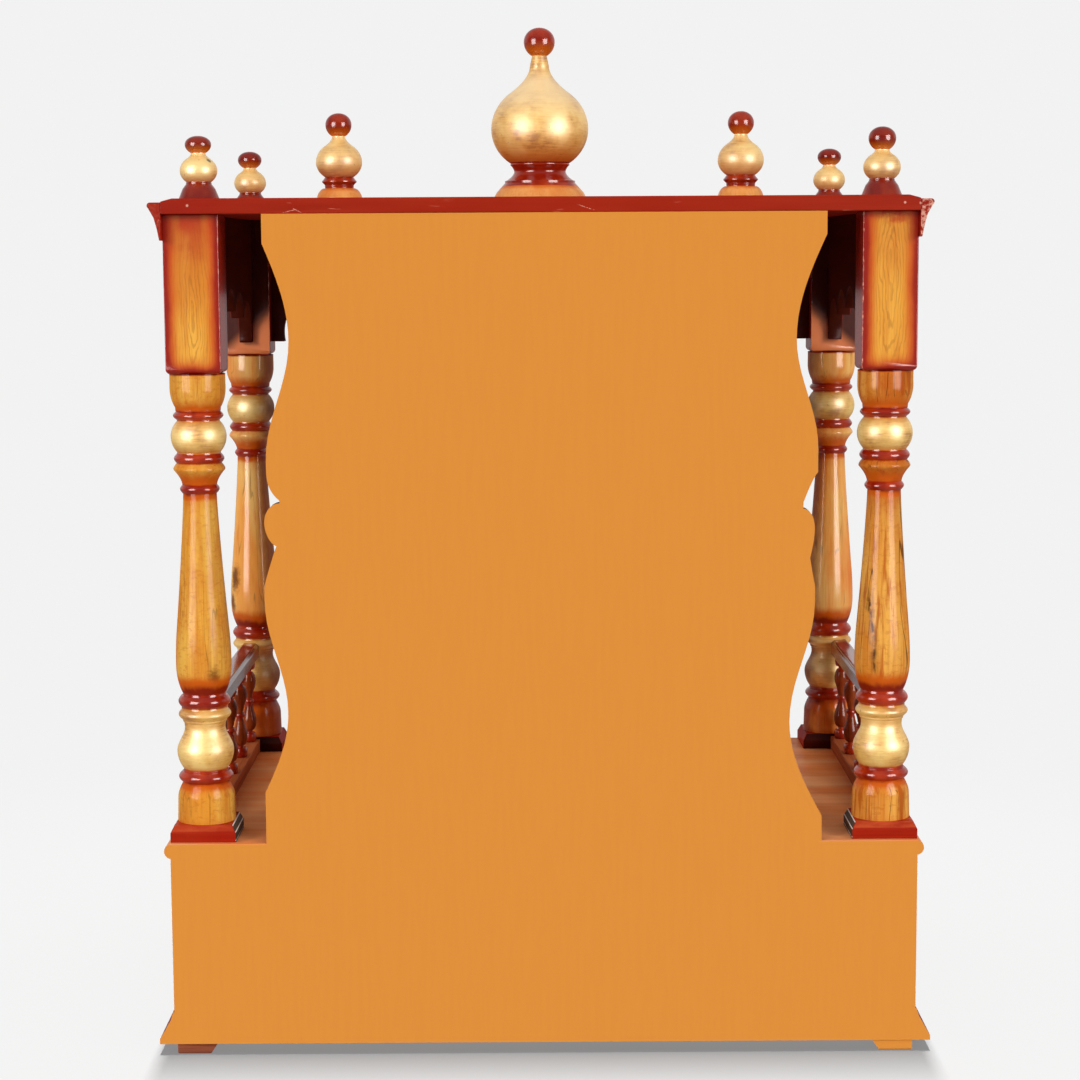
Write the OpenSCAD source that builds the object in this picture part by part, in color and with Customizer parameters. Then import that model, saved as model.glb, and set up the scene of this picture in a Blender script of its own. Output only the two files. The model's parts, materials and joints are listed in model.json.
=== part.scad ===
// Home shrine: a boarded base, four turned pillars, cusped arches, a flat
// roof with a cornice, and a row of onion finials. All sizes in millimetres.
// The open worship side faces -Y, the boarded back faces +Y, and z = 0 is the
// ground under the feet.

/* [Base] */
// Width of the base box across its side boards
base_w = 590; // [480:5:760]
// Depth of the base box over its front and back boards
base_d = 400; // [320:5:520]
// Height of the base box walls
base_wall_h = 151; // [100:1:220]
// Thickness of the boards of the base box
board_t = 12; // [9:1:18]
// Thickness of the floor board on top of the base box
floor_t = 12; // [9:1:20]
// How far the rounded edge of the floor board stands out
floor_lip = 5; // [2:1:12]
// Height of the flared skirting
skirt_h = 26; // [16:1:45]
// How far the skirting flares out at the bottom
skirt_out = 12; // [6:1:20]
// Height of the feet
foot_h = 9; // [6:1:30]
// Width of the square feet at their top
foot_w = 32; // [20:1:50]
// How far the inner sides of the feet slope in towards the ground
foot_slope = 5; // [0:1:8]
// Radius along the lower edges of the feet
foot_round = 2; // [1:0.5:3]
// Gap from the faces of the base box to the feet
foot_inset = 2; // [0:1:12]

/* [Pillars] */
// Height of a turned pillar
pillar_h = 356; // [300:1:520]
// Diameter of the drum at the foot of a pillar
foot_drum_d = 46.2; // [38:0.2:50]
// Diameter of the lower gold ball
low_ball_d = 44.8; // [38:0.2:50]
// Diameter of the pair of rings under the shaft
ring_d = 41.5; // [36:0.5:50]
// Largest diameter of the shaft, near its foot
shaft_d = 43.8; // [34:0.2:50]
// Smallest diameter of the shaft, near its head
shaft_neck_d = 26.2; // [20:0.2:32]
// Diameter of the upper gold ball
top_ball_d = 43.6; // [36:0.2:50]
// Diameter of the drum at the head of a pillar
head_drum_d = 43.6; // [36:0.2:48]
// Width of the square plinth under a pillar
plinth_w = 52; // [48:1:66]
// How far the plinths stand in from the edges of the floor board
plinth_inset = 4.5; // [0:0.5:20]
// Height of the plinth
plinth_h = 13.5; // [8:0.5:24]
// Bevel along the top edges of the plinth
plinth_bevel = 3; // [1:0.5:3]

/* [Head blocks and arches] */
// Width of the square block over a pillar
block_w = 43; // [40:1:50]
// Height of the block
block_h = 123; // [100:1:170]
// Radius along the lower edges of the block
block_round = 4; // [1:0.5:6]
// Thickness of the arch boards
arch_t = 12; // [8:1:18]
// How far the arches spring above the foot of the blocks
arch_spring = 12; // [5:1:30]
// Rise of the side arches
side_arch_rise = 36; // [20:1:45]
// Rise of the front arch
front_arch_rise = 58; // [30:1:65]
// Number of scallops in a side arch
side_foils = 5; // [3:2:9]
// Number of scallops in the front arch
front_foils = 7; // [5:2:11]

/* [Roof] */
// Thickness of the roof board
roof_t = 12; // [9:1:20]
// Height of the cornice moulding
cornice_h = 29; // [20:1:45]
// How far the cornice stands out from the roof board
cornice_out = 10; // [6:0.5:20]
// How far the top of the cornice lies under the top of the roof board
cornice_drop = 3; // [0:0.5:6]
// How far in from its sides and front the roof board starts to slope down
roof_slope_in = 9; // [4:0.5:14]
// How much the roof board drops over that slope
roof_slope_drop = 2.4; // [0.5:0.1:3]

/* [Finials] */
// Diameter of the onion on the centre finial
dome_d = 82; // [60:1:110]
// Height of the centre finial
dome_h = 145; // [110:1:200]
// Diameter of the onions on the two middle finials
mid_ball_d = 39; // [28:1:50]
// Height of the middle finials
mid_h = 75; // [60:1:100]
// Distance of the middle finials from the centre finial
mid_spacing = 170; // [120:1:215]
// Diameter of the balls on the corner finials
corner_ball_d = 29; // [22:1:34]
// Height of the corner finials under their knobs
corner_h = 35.5; // [30:0.5:50]
// How far the corner finials stand in from the pillar axes
corner_inset = 4; // [0:0.5:10]

/* [Back panel] */
// Thickness of the back panel
panel_t = 12; // [6:1:16]
// Gap between the straight ends of the panel and the head blocks
panel_gap = 31; // [10:0.5:60]
// How deep the four waists cut into the panel
waist_cut = 22; // [10:1:30]
// How deep the notches over the middle lobes cut
notch_cut = 14.5; // [8:0.5:20]

/* [Side balustrades] */
// Width of the rails
rail_w = 17; // [12:1:24]
// How far out from the pillar axes the left rails stand
rail_out_left = 8; // [0:1:10]
// How far out from the pillar axes the right rails stand
rail_out_right = 3; // [0:1:10]
// Thickness of the top rail
rail_t = 13; // [8:1:18]
// Thickness of the bottom rail
low_rail_t = 12; // [8:1:18]
// Height of the top rail over the floor board
rail_top = 102; // [70:1:130]
// Number of balusters on each side
baluster_n = 5; // [3:1:7]
// Largest diameter of a baluster
baluster_d = 13.5; // [9:0.5:16]
// Distance from the pillar axes to the end balusters
baluster_inset = 36; // [34:1:60]

/* [Hidden] */
$fn = 64;

honey = "goldenrod";
red = "firebrick";
gold = "gold";
orange = "sandybrown";

steps = 10;      // straight pieces in each curve of a turned profile
fit = 0.2;       // clearance of a rail end around a pillar
over = 1;        // how far a cutter runs past the face that it cuts

// levels, from the ground up
wall_top = foot_h + base_wall_h;
floor_z = wall_top + floor_t;
pillar_z = floor_z + plinth_h;
block_z = pillar_z + pillar_h;
roof_z = block_z + block_h;
roof_top = roof_z + roof_t;

// planes and axes; the skirting is the foremost piece and the back board the rearmost
rear_y = (base_d + skirt_out) / 2;
front_y = rear_y - base_d;
pillar_x = base_w / 2 + floor_lip - plinth_inset - plinth_w / 2;
pillar_rear_y = rear_y - plinth_inset - plinth_w / 2;
pillar_front_y = front_y - floor_lip + plinth_inset + plinth_w / 2;
mid_y = (pillar_rear_y + pillar_front_y) / 2;
pillar_run = pillar_rear_y - pillar_front_y;
roof_half_w = pillar_x + block_w / 2;
roof_front_y = pillar_front_y - block_w / 2;
panel_half_w = pillar_x - block_w / 2 - panel_gap;

// ---- curves of a turned profile; each is [height, [[radius, z], ...]] from z = 0 up ----

// a straight or conical stretch
function taper(h, d1, d2) = [h, [[d1 / 2, 0], [d2 / 2, h]]];

// a half-round bead that bulges from diameter d to the peak
function bead(h, d, peak) = [h, [for (i = [0:steps]) let (a = 180 * i / steps)
    [d / 2 + (peak - d) / 2 * sin(a), h * (1 - cos(a)) / 2]]];

// a sharper ring that swells from diameter d to the peak
function ridge(h, d, peak) = [h, [for (i = [0:steps])
    [d / 2 + (peak - d) / 2 * sin(180 * i / steps), h * i / steps]]];

// a flare that opens or closes from d1 to d2, faster and faster
function flare(h, d1, d2) = [h, [for (i = [0:steps])
    [d1 / 2 + (d2 - d1) / 2 * pow(i / steps, 1.6), h * i / steps]]];

// a quarter round that opens from d1 to d2, upright at d2
function open_out(h, d1, d2) = [h, [for (i = [0:steps]) let (a = 90 * i / steps)
    [d1 / 2 + (d2 - d1) / 2 * sin(a), h * (1 - cos(a))]]];

// a quarter round that closes from d1 to d2, upright at d1
function close_in(h, d1, d2) = [h, [for (i = [0:steps]) let (a = 90 * i / steps)
    [d2 / 2 + (d1 - d2) / 2 * cos(a), h * sin(a)]]];

// a long S-shaped sweep, upright at both ends
function sweep(h, d1, d2) = [h, [for (i = [0:steps])
    [d1 / 2 + (d2 - d1) / 2 * (1 - cos(180 * i / steps)) / 2, h * i / steps]]];

// a hollow curve that leaves d1 at the slope given (radius per height) and ends upright at d2
function spire(h, d1, d2, slope) = let (p = slope * h / ((d1 - d2) / 2))
    [h, [for (i = [0:steps]) [d2 / 2 + (d1 - d2) / 2 * pow(1 - i / steps, p), h * i / steps]]];

// height of the part of an ellipse of diameter d and half height a, out from diameter cut
function ball_part(d, cut, a) = a * sqrt(1 - pow(cut / d, 2));

// the lower and upper parts of such a ball
function ball_low(d, cut, a) = let (t = acos(cut / d), h = ball_part(d, cut, a))
    [h, [for (i = [0:steps]) [d / 2 * cos(t * (1 - i / steps)), h - a * sin(t * (1 - i / steps))]]];
function ball_high(d, cut, a) = let (t = acos(cut / d))
    [ball_part(d, cut, a), [for (i = [0:steps]) [d / 2 * cos(t * i / steps), a * sin(t * i / steps)]]];

// slope at the top of ball_high, for the spire that goes on from it
function ball_slope(d, cut, a) = let (t = acos(cut / d)) d / 2 * sin(t) / (a * cos(t));

// puts curves on top of each other
function height_of(curves, i = 0) = i == len(curves) ? 0 : curves[i][0] + height_of(curves, i + 1);
function stack(curves, z = 0, i = 0) = i == len(curves) ? [] :
    concat([for (p = curves[i][1]) [p[0], p[1] + z]], stack(curves, z + curves[i][0], i + 1));

// leaves out points that repeat the one before
function distinct(p) = [for (i = [0:len(p) - 1]) if (i == 0 || norm(p[i] - p[max(i - 1, 0)]) > 0.01) p[i]];

module turned(curves)
    rotate_extrude()
        polygon(distinct(concat([[0, 0]], stack(curves), [[0, height_of(curves)]])));

// ---- base ----

// section of a foot: upright outside, sloping inside, round along its lower edges
module foot_section()
    polygon(concat([[-foot_w, foot_h], [0, foot_h]],
        [for (a = [0:15:90]) foot_round * [cos(a) - 1, 1 - sin(a)]],
        [for (a = [0:15:60]) [foot_slope - foot_w + foot_round * (1 - sin(a)), foot_round * (1 - cos(a))]]));

// a foot with its outer corner at the origin, under the corner towards +X and +Y
module foot()
    intersection() {
        rotate([90, 0, 0])
            linear_extrude(foot_w)
                foot_section();
        translate([-foot_w, 0, 0])
            rotate([90, 0, 90])
                linear_extrude(foot_w)
                    foot_section();
    }

module feet()
    color(red)
        translate([0, rear_y - base_d / 2, 0])
            for (x = [0, 1], y = [0, 1])
                mirror([x, 0, 0])
                    mirror([0, y, 0])
                        translate([base_w / 2 - foot_inset, base_d / 2 - foot_inset, 0])
                            foot();

module base_bottom()
    color(honey)
        translate([-base_w / 2 + board_t, front_y + board_t, foot_h])
            cube([base_w - 2 * board_t, base_d - 2 * board_t, board_t]);

module base_end(y, tint)
    color(tint)
        translate([-base_w / 2, y, foot_h])
            cube([base_w, board_t, base_wall_h]);

module base_side(side)
    color(red)
        translate([side * (base_w - board_t) / 2 - board_t / 2, front_y + board_t, foot_h])
            cube([board_t, base_d - 2 * board_t, base_wall_h]);

// section of the skirting: upright nose, then a slope that dies into the wall
module skirt_section() {
    nose = skirt_out / 3;
    polygon([[0, 0], [skirt_out, 0], [skirt_out, nose], [skirt_out - 1, nose + 1.5],
        [skirt_out / 4, skirt_h * 0.75], [1, skirt_h], [0, skirt_h]]);
}

// section of the cornice: hollow face under a round nose
module cornice_section() {
    nose = cornice_h / 6;
    translate([cornice_out - nose / 2, cornice_h - nose / 2]) circle(d = nose);
    polygon([[0, 0], [1, 0], [cornice_out * 0.28, cornice_h * 0.32], [cornice_out * 0.5, cornice_h * 0.6],
        [cornice_out - nose / 4, cornice_h - nose], [cornice_out - nose / 2, cornice_h], [0, cornice_h]]);
}

// a moulding along a side face, mitred at the front corner
module side_moulding(side, x, y_front, out, z)
    difference() {
        translate([side * x, rear_y, z])
            rotate([90, 0, 0])
                scale_side(side)
                    linear_extrude(rear_y - y_front + out)
                        children();
        mitre(side, x, y_front, z);
    }

module scale_side(side)
    if (side < 0) mirror([1, 0, 0]) children();
    else children();

// everything in front of the 45 degree plane through the corner (x, y_front)
module mitre(side, x, y_front, z)
    translate([side * x, y_front, z - over])
        rotate([0, 0, side * 45])
            translate([-100, -200, 0])
                cube([200, 200, 100]);

// a moulding along the front, mitred at both corners
module front_moulding(x, y_front, out, z)
    intersection() {
        translate([-x - out, y_front, z])
            rotate([90, 0, 90])
                mirror([1, 0, 0])
                    linear_extrude(2 * (x + out))
                        children();
        linear_extrude(z + 100)
            polygon([[-x, y_front], [x, y_front], [x + out, y_front - out], [-x - out, y_front - out]]);
    }

module skirting_side(side)
    color(red)
        side_moulding(side, base_w / 2, front_y, skirt_out, foot_h) skirt_section();

module skirting_front()
    color(red)
        front_moulding(base_w / 2, front_y, skirt_out, foot_h) skirt_section();

module floor_board() {
    r = floor_t / 2;
    x = base_w / 2 + floor_lip - r;
    color(red)
        translate([0, 0, wall_top + r]) {
            translate([-x, front_y - floor_lip + r, -r])
                cube([2 * x, base_d + floor_lip - r, floor_t]);
            for (side = [-1, 1])
                translate([side * x, front_y - floor_lip + r, 0]) {
                    rotate([-90, 0, 0]) cylinder(r = r, h = base_d + floor_lip - r);
                    sphere(r = r);
                }
            translate([-x, front_y - floor_lip + r, 0])
                rotate([0, 90, 0]) cylinder(r = r, h = 2 * x);
        }
}

// ---- pillars ----

module at_pillar(side, y, z)
    translate([side * pillar_x, y, z]) children();

module plinth(side, y) {
    profile = [[-plinth_w / 2, 0], [plinth_w / 2, 0], [plinth_w / 2, plinth_h - 2 * plinth_bevel],
        [plinth_w / 2 - plinth_bevel, plinth_h], [plinth_bevel - plinth_w / 2, plinth_h],
        [-plinth_w / 2, plinth_h - 2 * plinth_bevel]];
    color(red)
        at_pillar(side, y, floor_z)
            intersection_for (turn = [0, 90])
                rotate([90, 0, turn])
                    linear_extrude(plinth_w, center = true)
                        polygon(profile);
}

// turned group under the shaft: drum, ring, gold vase and a pair of rings
foot_group = [
    taper(19.5, foot_drum_d, foot_drum_d - 1.2), flare(10.5, foot_drum_d - 1.2, foot_drum_d - 8.6),
    taper(1.3, foot_drum_d - 9, foot_drum_d - 9),
    ridge(8.4, foot_drum_d - 8.8, foot_drum_d - 3), taper(2.6, foot_drum_d - 10.8, foot_drum_d - 11.2),
    ball_low(low_ball_d, foot_drum_d - 10.8, 23.2), sweep(19, low_ball_d, ring_d - 9.5),
    taper(3.8, ring_d - 9.5, ring_d - 8.5), open_out(2.2, ring_d - 8.5, ring_d - 6.5),
    ridge(8.6, ring_d - 6.5, ring_d), taper(1.6, ring_d - 4.9, ring_d - 5.3),
    ridge(9.3, ring_d - 5.3, ring_d - 0.1), taper(1.7, ring_d - 7.5, ring_d - 8.1)];

// turned group over the shaft: ring, flare, flange, bead, gold ball, ring and drum
head_group = [
    ridge(6.8, shaft_neck_d + 0.8, shaft_neck_d + 4.8),
    flare(11.7, shaft_neck_d + 1, head_drum_d - 3.4), taper(0.8, head_drum_d - 3.4, head_drum_d - 3),
    flare(4.5, head_drum_d - 3, head_drum_d - 8.4), ridge(7.4, head_drum_d - 8.4, head_drum_d - 4.2),
    taper(1.2, head_drum_d - 9.2, head_drum_d - 9.6), ball_low(top_ball_d, head_drum_d - 9.6, 19.8),
    ball_high(top_ball_d, head_drum_d - 10, 18.8), taper(1.2, head_drum_d - 10.2, head_drum_d - 10.2),
    ridge(6.6, head_drum_d - 9.6, head_drum_d - 4.2), taper(1.4, head_drum_d - 8.4, head_drum_d - 8.2),
    taper(1.5, head_drum_d - 8.2, head_drum_d - 8), ball_low(head_drum_d, head_drum_d - 8, 26),
    taper(11.5, head_drum_d, head_drum_d - 0.2)];

// the shaft swells quickly from the rings, then thins in one long curve to its neck
shaft_top_d = shaft_d * 0.934;
shaft_foot = [ball_low(shaft_d, ring_d - 7.5, 36), ball_high(shaft_d, shaft_top_d, 86.6)];
shaft_h = pillar_h - height_of(foot_group) - height_of(head_group);
shaft = concat(shaft_foot,
    [spire(shaft_h - height_of(shaft_foot), shaft_top_d, shaft_neck_d, 0.085)]);

pillar_curves = concat(foot_group, shaft, head_group);

// widest place of a pillar between two levels over its foot
function pillar_d(z0, z1) = 2 * max([for (p = stack(pillar_curves)) if (p[1] > z0 && p[1] < z1) p[0]]);

module pillar(side, y)
    color(honey)
        at_pillar(side, y, pillar_z)
            turned(pillar_curves);

module block(side, y) {
    half = block_w / 2;
    color(red)
        at_pillar(side, y, block_z)
            intersection_for (turn = [0, 90])
                rotate([90, 0, turn])
                    linear_extrude(block_w, center = true)
                        union() {
                            translate([-half, block_round]) square([block_w, block_h - block_round]);
                            translate([block_round - half, 0]) square([block_w - 2 * block_round, block_h]);
                            for (x = [block_round - half, half - block_round])
                                translate([x, block_round]) circle(r = block_round);
                        }
}

// ---- arches ----

// a board with a scalloped arch cut out of its lower edge, standing along X from x = 0
module arch_board(span, rise, foils) {
    h = block_h - arch_spring;
    shoulder = span * 0.03;
    step_w = (span - 2 * shoulder) / foils;
    foil_r = step_w * 0.56;
    crown = rise - foil_r * 0.55;
    difference() {
        translate([0, -arch_t / 2, 0]) cube([span, arch_t, h]);
        for (i = [0:foils - 1])
            let (u = (i + 0.5) / foils, x = shoulder + step_w * (i + 0.5))
                translate([x, 0, crown * sin(180 * u)])
                    rotate([90, 0, 0])
                        cylinder(r = foil_r, h = arch_t + 2 * over, center = true);
        translate([0, arch_t / 2 + over, 0])
            rotate([90, 0, 0])
                linear_extrude(arch_t + 2 * over)
                    polygon(concat([[shoulder, -over]],
                        [for (i = [0:foils]) [shoulder + step_w * i, crown * sin(180 * i / foils)]],
                        [[span - shoulder, -over]]));
    }
}

module arch_side(side)
    color(red)
        at_pillar(side, pillar_front_y + block_w / 2, block_z + arch_spring)
            rotate([0, 0, 90])
                arch_board(pillar_run - block_w, side_arch_rise, side_foils);

module arch_front()
    color(red)
        translate([block_w / 2 - pillar_x, pillar_front_y, block_z + arch_spring])
            arch_board(2 * pillar_x - block_w, front_arch_rise, front_foils);

// ---- roof ----

// the board's top slopes down a little to its sides and its front
module roof_board()
    color(red)
        translate([0, 0, roof_z])
            intersection() {
                translate([0, rear_y, 0])
                    rotate([90, 0, 0])
                        linear_extrude(rear_y - roof_front_y)
                            polygon([[-roof_half_w, 0], [roof_half_w, 0],
                                [roof_half_w, roof_t - roof_slope_drop], [roof_half_w - roof_slope_in, roof_t],
                                [roof_slope_in - roof_half_w, roof_t], [-roof_half_w, roof_t - roof_slope_drop]]);
                translate([-roof_half_w, 0, 0])
                    rotate([90, 0, 90])
                        linear_extrude(2 * roof_half_w)
                            polygon([[roof_front_y, 0], [rear_y, 0], [rear_y, roof_t],
                                [roof_front_y + roof_slope_in, roof_t], [roof_front_y, roof_t - roof_slope_drop]]);
            }

cornice_z = roof_top - cornice_drop - cornice_h;

module cornice_side(side)
    color(red)
        side_moulding(side, roof_half_w, roof_front_y, cornice_out, cornice_z) cornice_section();

module cornice_front()
    color(red)
        front_moulding(roof_half_w, roof_front_y, cornice_out, cornice_z) cornice_section();

// ---- finials ----

// a foot, a gold onion that thins to its neck and a round knob; neck is its diameter at the
// foot, its height and its diameter at the top, and knob is its diameter and height
module finial(foot, d, cut_low, low, high, neck, total_h, knob) {
    cut_high = d * 0.615;
    body = [ball_low(d, cut_low, low), ball_high(d, cut_high, high)];
    spire_h = total_h - height_of(foot) - height_of(body) - neck[1] - knob[1];
    turned(concat(foot, body,
        [spire(spire_h, cut_high, neck[0], ball_slope(d, cut_high, high)),
         taper(neck[1], neck[0], neck[2]),
         ball_low(knob[0], neck[2], knob[1] * 0.5 / sqrt(1 - pow(neck[2] / knob[0], 2))),
         close_in(knob[1] * 0.5, knob[0], 1)]));
}

module dome_finial()
    color(gold)
        translate([0, mid_y, roof_top])
            finial([taper(2, dome_d * 0.975, dome_d * 0.975), taper(6, dome_d * 0.975, dome_d * 0.895),
                    taper(7.5, dome_d * 0.895, dome_d * 0.73), taper(2, dome_d * 0.725, dome_d * 0.725),
                    spire(8, dome_d * 0.705, dome_d * 0.533, 1.7), flare(4.5, dome_d * 0.533, dome_d * 0.59),
                    bead(2.5, dome_d * 0.59, dome_d * 0.61)],
                dome_d, dome_d * 0.62, dome_d * 0.437, dome_d * 0.463, [16, 8, 12.3], dome_h, [26.2, 23.5]);

module mid_finial(side)
    color(gold)
        translate([side * mid_spacing, mid_y, roof_top])
            finial([close_in(12.3, mid_ball_d * 1.01, mid_ball_d * 0.627),
                    taper(2.7, mid_ball_d * 0.62, mid_ball_d * 0.63),
                    taper(2.4, mid_ball_d * 0.63, mid_ball_d * 0.75),
                    taper(0.8, mid_ball_d * 0.755, mid_ball_d * 0.755),
                    spire(3.5, mid_ball_d * 0.75, mid_ball_d * 0.62, 0.9)],
                mid_ball_d, mid_ball_d * 0.625, mid_ball_d * 0.403, mid_ball_d * 0.44,
                [10.8, 0, 10.8], mid_h, [22.1, 19.3]);

module corner_finial(side, y, knob)
    color(gold)
        translate([side * (pillar_x - corner_inset), y, roof_top])
            finial([taper(8, corner_ball_d * 1.1, corner_ball_d * 0.875),
                    taper(3.5, corner_ball_d * 0.875, corner_ball_d * 0.69),
                    sweep(1.8, corner_ball_d * 0.69, corner_ball_d * 0.67)],
                corner_ball_d, corner_ball_d * 0.672, corner_ball_d * 0.397, corner_ball_d * 0.414,
                [11.1, 0, 11.1], corner_h + knob[1], knob);

// ---- back panel ----

// The edges of the panel are sawn by hand, so the left and the right one differ a little. Each
// has an end stretch from the bottom, a lobe and an end stretch from the top. An end stretch
// starts at half width w; at gives the distances of its straight end, waist, bulge, far end of
// the bulge and notch from that end of the panel, cut how far waist, bulge and notch are cut in.
function panel_end(w, at, cut, power) = concat([[w, 0]],
    [for (i = [0:steps]) let (u = i / steps)
        [w - cut[0] * sin(90 * u), at[0] + (at[1] - at[0]) * u]],
    [for (i = [1:steps]) let (u = i / steps)
        [w - cut[1] - (cut[0] - cut[1]) * (1 + cos(180 * u)) / 2, at[1] + (at[2] - at[1]) * u]],
    [for (i = [0:steps]) let (u = i / steps)
        [w - cut[1] - (cut[2] - cut[1]) * pow(u, power), at[3] + (at[4] - at[3]) * u]]);

// a whole edge from the bottom to the top; the lobe stands out of its notches by out, leans
// towards one of them, and an upright stretch of the length flat ends it
function panel_edge(low, high, flat, out, lean) =
    let (foot = low[len(low) - 1], head = high[len(high) - 1], z2 = panel_h - head[1] - flat)
    concat(low,
        [for (i = [1:2 * steps]) let (a = 90 * i / steps, u = pow((1 - cos(a)) / 2, lean))
            [foot[0] + (head[0] - foot[0]) * u + out * sin(a), foot[1] + (z2 - foot[1]) * u]],
        [for (i = [len(high) - 1:-1:0]) [high[i][0], panel_h - high[i][1]]]);

panel_h = roof_z - floor_z;
left_edge = panel_edge(
    panel_end(panel_half_w + 2, [20, 96, 191, 203, 225], [waist_cut + 4, 6.8, notch_cut - 3.7], 0.9),
    panel_end(panel_half_w + 2.3, [17.5, 96.5, 182.5, 200.5, 224], [waist_cut + 0.8, 5.5, notch_cut + 2.1], 0.8),
    5, 7, 0.5);
right_edge = panel_edge(
    panel_end(panel_half_w + 2, [41, 105, 194, 203, 236.5], [waist_cut - 2.9, 2.2, notch_cut - 2.3], 1.2),
    panel_end(panel_half_w - 3.2, [22.5, 96.5, 189.5, 194.5, 220.5], [waist_cut - 2.7, 0.1, notch_cut - 4.6], 3),
    2, 10.7, 0.75);

function flip(p) = [for (i = [len(p) - 1:-1:0]) [-p[i][0], p[i][1]]];

module back_panel()
    color(orange)
        translate([0, rear_y, floor_z])
            rotate([90, 0, 0])
                linear_extrude(panel_t)
                    polygon(concat(right_edge, flip(left_edge)));

// ---- side balustrades ----

top_rail_z = floor_z + rail_top - rail_t;
low_rail_top = floor_z + low_rail_t;

module at_rail(side, y, z)
    translate([side * (pillar_x + (side < 0 ? rail_out_left : rail_out_right)), y, z]) children();

module low_rail(side)
    color(red)
        at_rail(side, pillar_front_y + plinth_w / 2, floor_z)
            translate([-rail_w / 2, 0, 0])
                cube([rail_w, pillar_run - plinth_w, low_rail_t]);

module top_rail(side) {
    round_r = 3;
    z = top_rail_z - pillar_z;
    end_d = pillar_d(z - 2, z + rail_t + 2) + 2 * fit;
    color(red)
        difference() {
            at_rail(side, pillar_front_y, top_rail_z)
                rotate([-90, 0, 0])
                    linear_extrude(pillar_run)
                        polygon([[-rail_w / 2, 0], [rail_w / 2, 0], [rail_w / 2, round_r - rail_t],
                            [rail_w / 2 - round_r, -rail_t], [round_r - rail_w / 2, -rail_t],
                            [-rail_w / 2, round_r - rail_t]]);
            for (y = [pillar_front_y, pillar_rear_y])
                at_pillar(side, y, top_rail_z - over)
                    cylinder(d = end_d, h = rail_t + 2 * over);
        }
}

// a double vase baluster, the same from both ends
module baluster(h) {
    waist = baluster_d * 0.45;
    vase_h = h / 2 - 15;
    half = [bead(9, baluster_d * 0.7, baluster_d * 0.95), taper(2, waist, waist),
        open_out(vase_h * 0.4, waist, baluster_d), sweep(vase_h * 0.6, baluster_d, waist + 1)];
    half_h = height_of(half);
    middle = [taper(h / 2 - half_h - 2, waist, waist), bead(4, waist, baluster_d * 0.72),
        taper(h / 2 - half_h - 2, waist, waist)];
    low = stack(concat(half, middle));
    up = stack(half);
    rotate_extrude()
        polygon(distinct(concat([[0, 0]], low,
            [for (i = [len(up) - 1:-1:0]) [up[i][0], h - up[i][1]]], [[0, h]])));
}

module balusters(side)
    color(honey)
        for (i = [0:baluster_n - 1])
            at_rail(side, pillar_front_y + baluster_inset
                + i * (pillar_run - 2 * baluster_inset) / (baluster_n - 1), low_rail_top)
                baluster(top_rail_z - low_rail_top);

round_knob = [21.4, 17.6];
flat_knob = [20.4, 13.2];
front_knob = [21.6, 14.8];

feet();
base_bottom();
base_end(front_y, red);  // base_front
base_end(rear_y - board_t, orange);  // base_back
base_side(-1);  // base_side_left
base_side(1);  // base_side_right
skirting_front();
skirting_side(-1);  // skirting_left
skirting_side(1);  // skirting_right
floor_board();
plinth(-1, pillar_front_y);  // plinth_front_left
plinth(1, pillar_front_y);  // plinth_front_right
plinth(-1, pillar_rear_y);  // plinth_rear_left
plinth(1, pillar_rear_y);  // plinth_rear_right
pillar(-1, pillar_front_y);  // pillar_front_left
pillar(1, pillar_front_y);  // pillar_front_right
pillar(-1, pillar_rear_y);  // pillar_rear_left
pillar(1, pillar_rear_y);  // pillar_rear_right
block(-1, pillar_front_y);  // block_front_left
block(1, pillar_front_y);  // block_front_right
block(-1, pillar_rear_y);  // block_rear_left
block(1, pillar_rear_y);  // block_rear_right
arch_front();
arch_side(-1);  // arch_left
arch_side(1);  // arch_right
roof_board();
cornice_front();
cornice_side(-1);  // cornice_left
cornice_side(1);  // cornice_right
dome_finial();
mid_finial(-1);  // mid_finial_left
mid_finial(1);  // mid_finial_right
corner_finial(-1, pillar_front_y + corner_inset, front_knob);  // corner_finial_front_left
corner_finial(1, pillar_front_y + corner_inset, front_knob);  // corner_finial_front_right
corner_finial(-1, pillar_rear_y - corner_inset, round_knob);  // corner_finial_rear_left
corner_finial(1, pillar_rear_y - corner_inset, flat_knob);  // corner_finial_rear_right
back_panel();
low_rail(-1);  // low_rail_left
low_rail(1);  // low_rail_right
top_rail(-1);  // top_rail_left
top_rail(1);  // top_rail_right
balusters(-1);  // balusters_left
balusters(1);  // balusters_right
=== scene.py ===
import json
import math

import bpy
from mathutils import Matrix, Vector

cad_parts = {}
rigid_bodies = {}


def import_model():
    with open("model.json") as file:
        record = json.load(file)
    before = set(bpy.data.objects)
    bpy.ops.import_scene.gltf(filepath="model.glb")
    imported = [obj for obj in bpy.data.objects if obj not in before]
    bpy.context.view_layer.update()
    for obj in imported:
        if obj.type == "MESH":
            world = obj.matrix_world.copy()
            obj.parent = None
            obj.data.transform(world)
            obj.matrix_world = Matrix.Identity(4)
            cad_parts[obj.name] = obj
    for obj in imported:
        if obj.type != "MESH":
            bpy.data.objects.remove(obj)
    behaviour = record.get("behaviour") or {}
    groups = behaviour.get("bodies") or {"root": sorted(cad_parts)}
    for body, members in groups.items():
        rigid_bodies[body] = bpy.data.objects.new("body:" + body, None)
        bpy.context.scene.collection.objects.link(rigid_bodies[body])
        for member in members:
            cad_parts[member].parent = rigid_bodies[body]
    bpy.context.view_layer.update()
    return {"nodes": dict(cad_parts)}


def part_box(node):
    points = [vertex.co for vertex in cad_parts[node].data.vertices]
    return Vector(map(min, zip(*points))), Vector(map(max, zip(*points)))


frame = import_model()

nodes = frame["nodes"]
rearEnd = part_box("back_panel")[1].y
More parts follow.
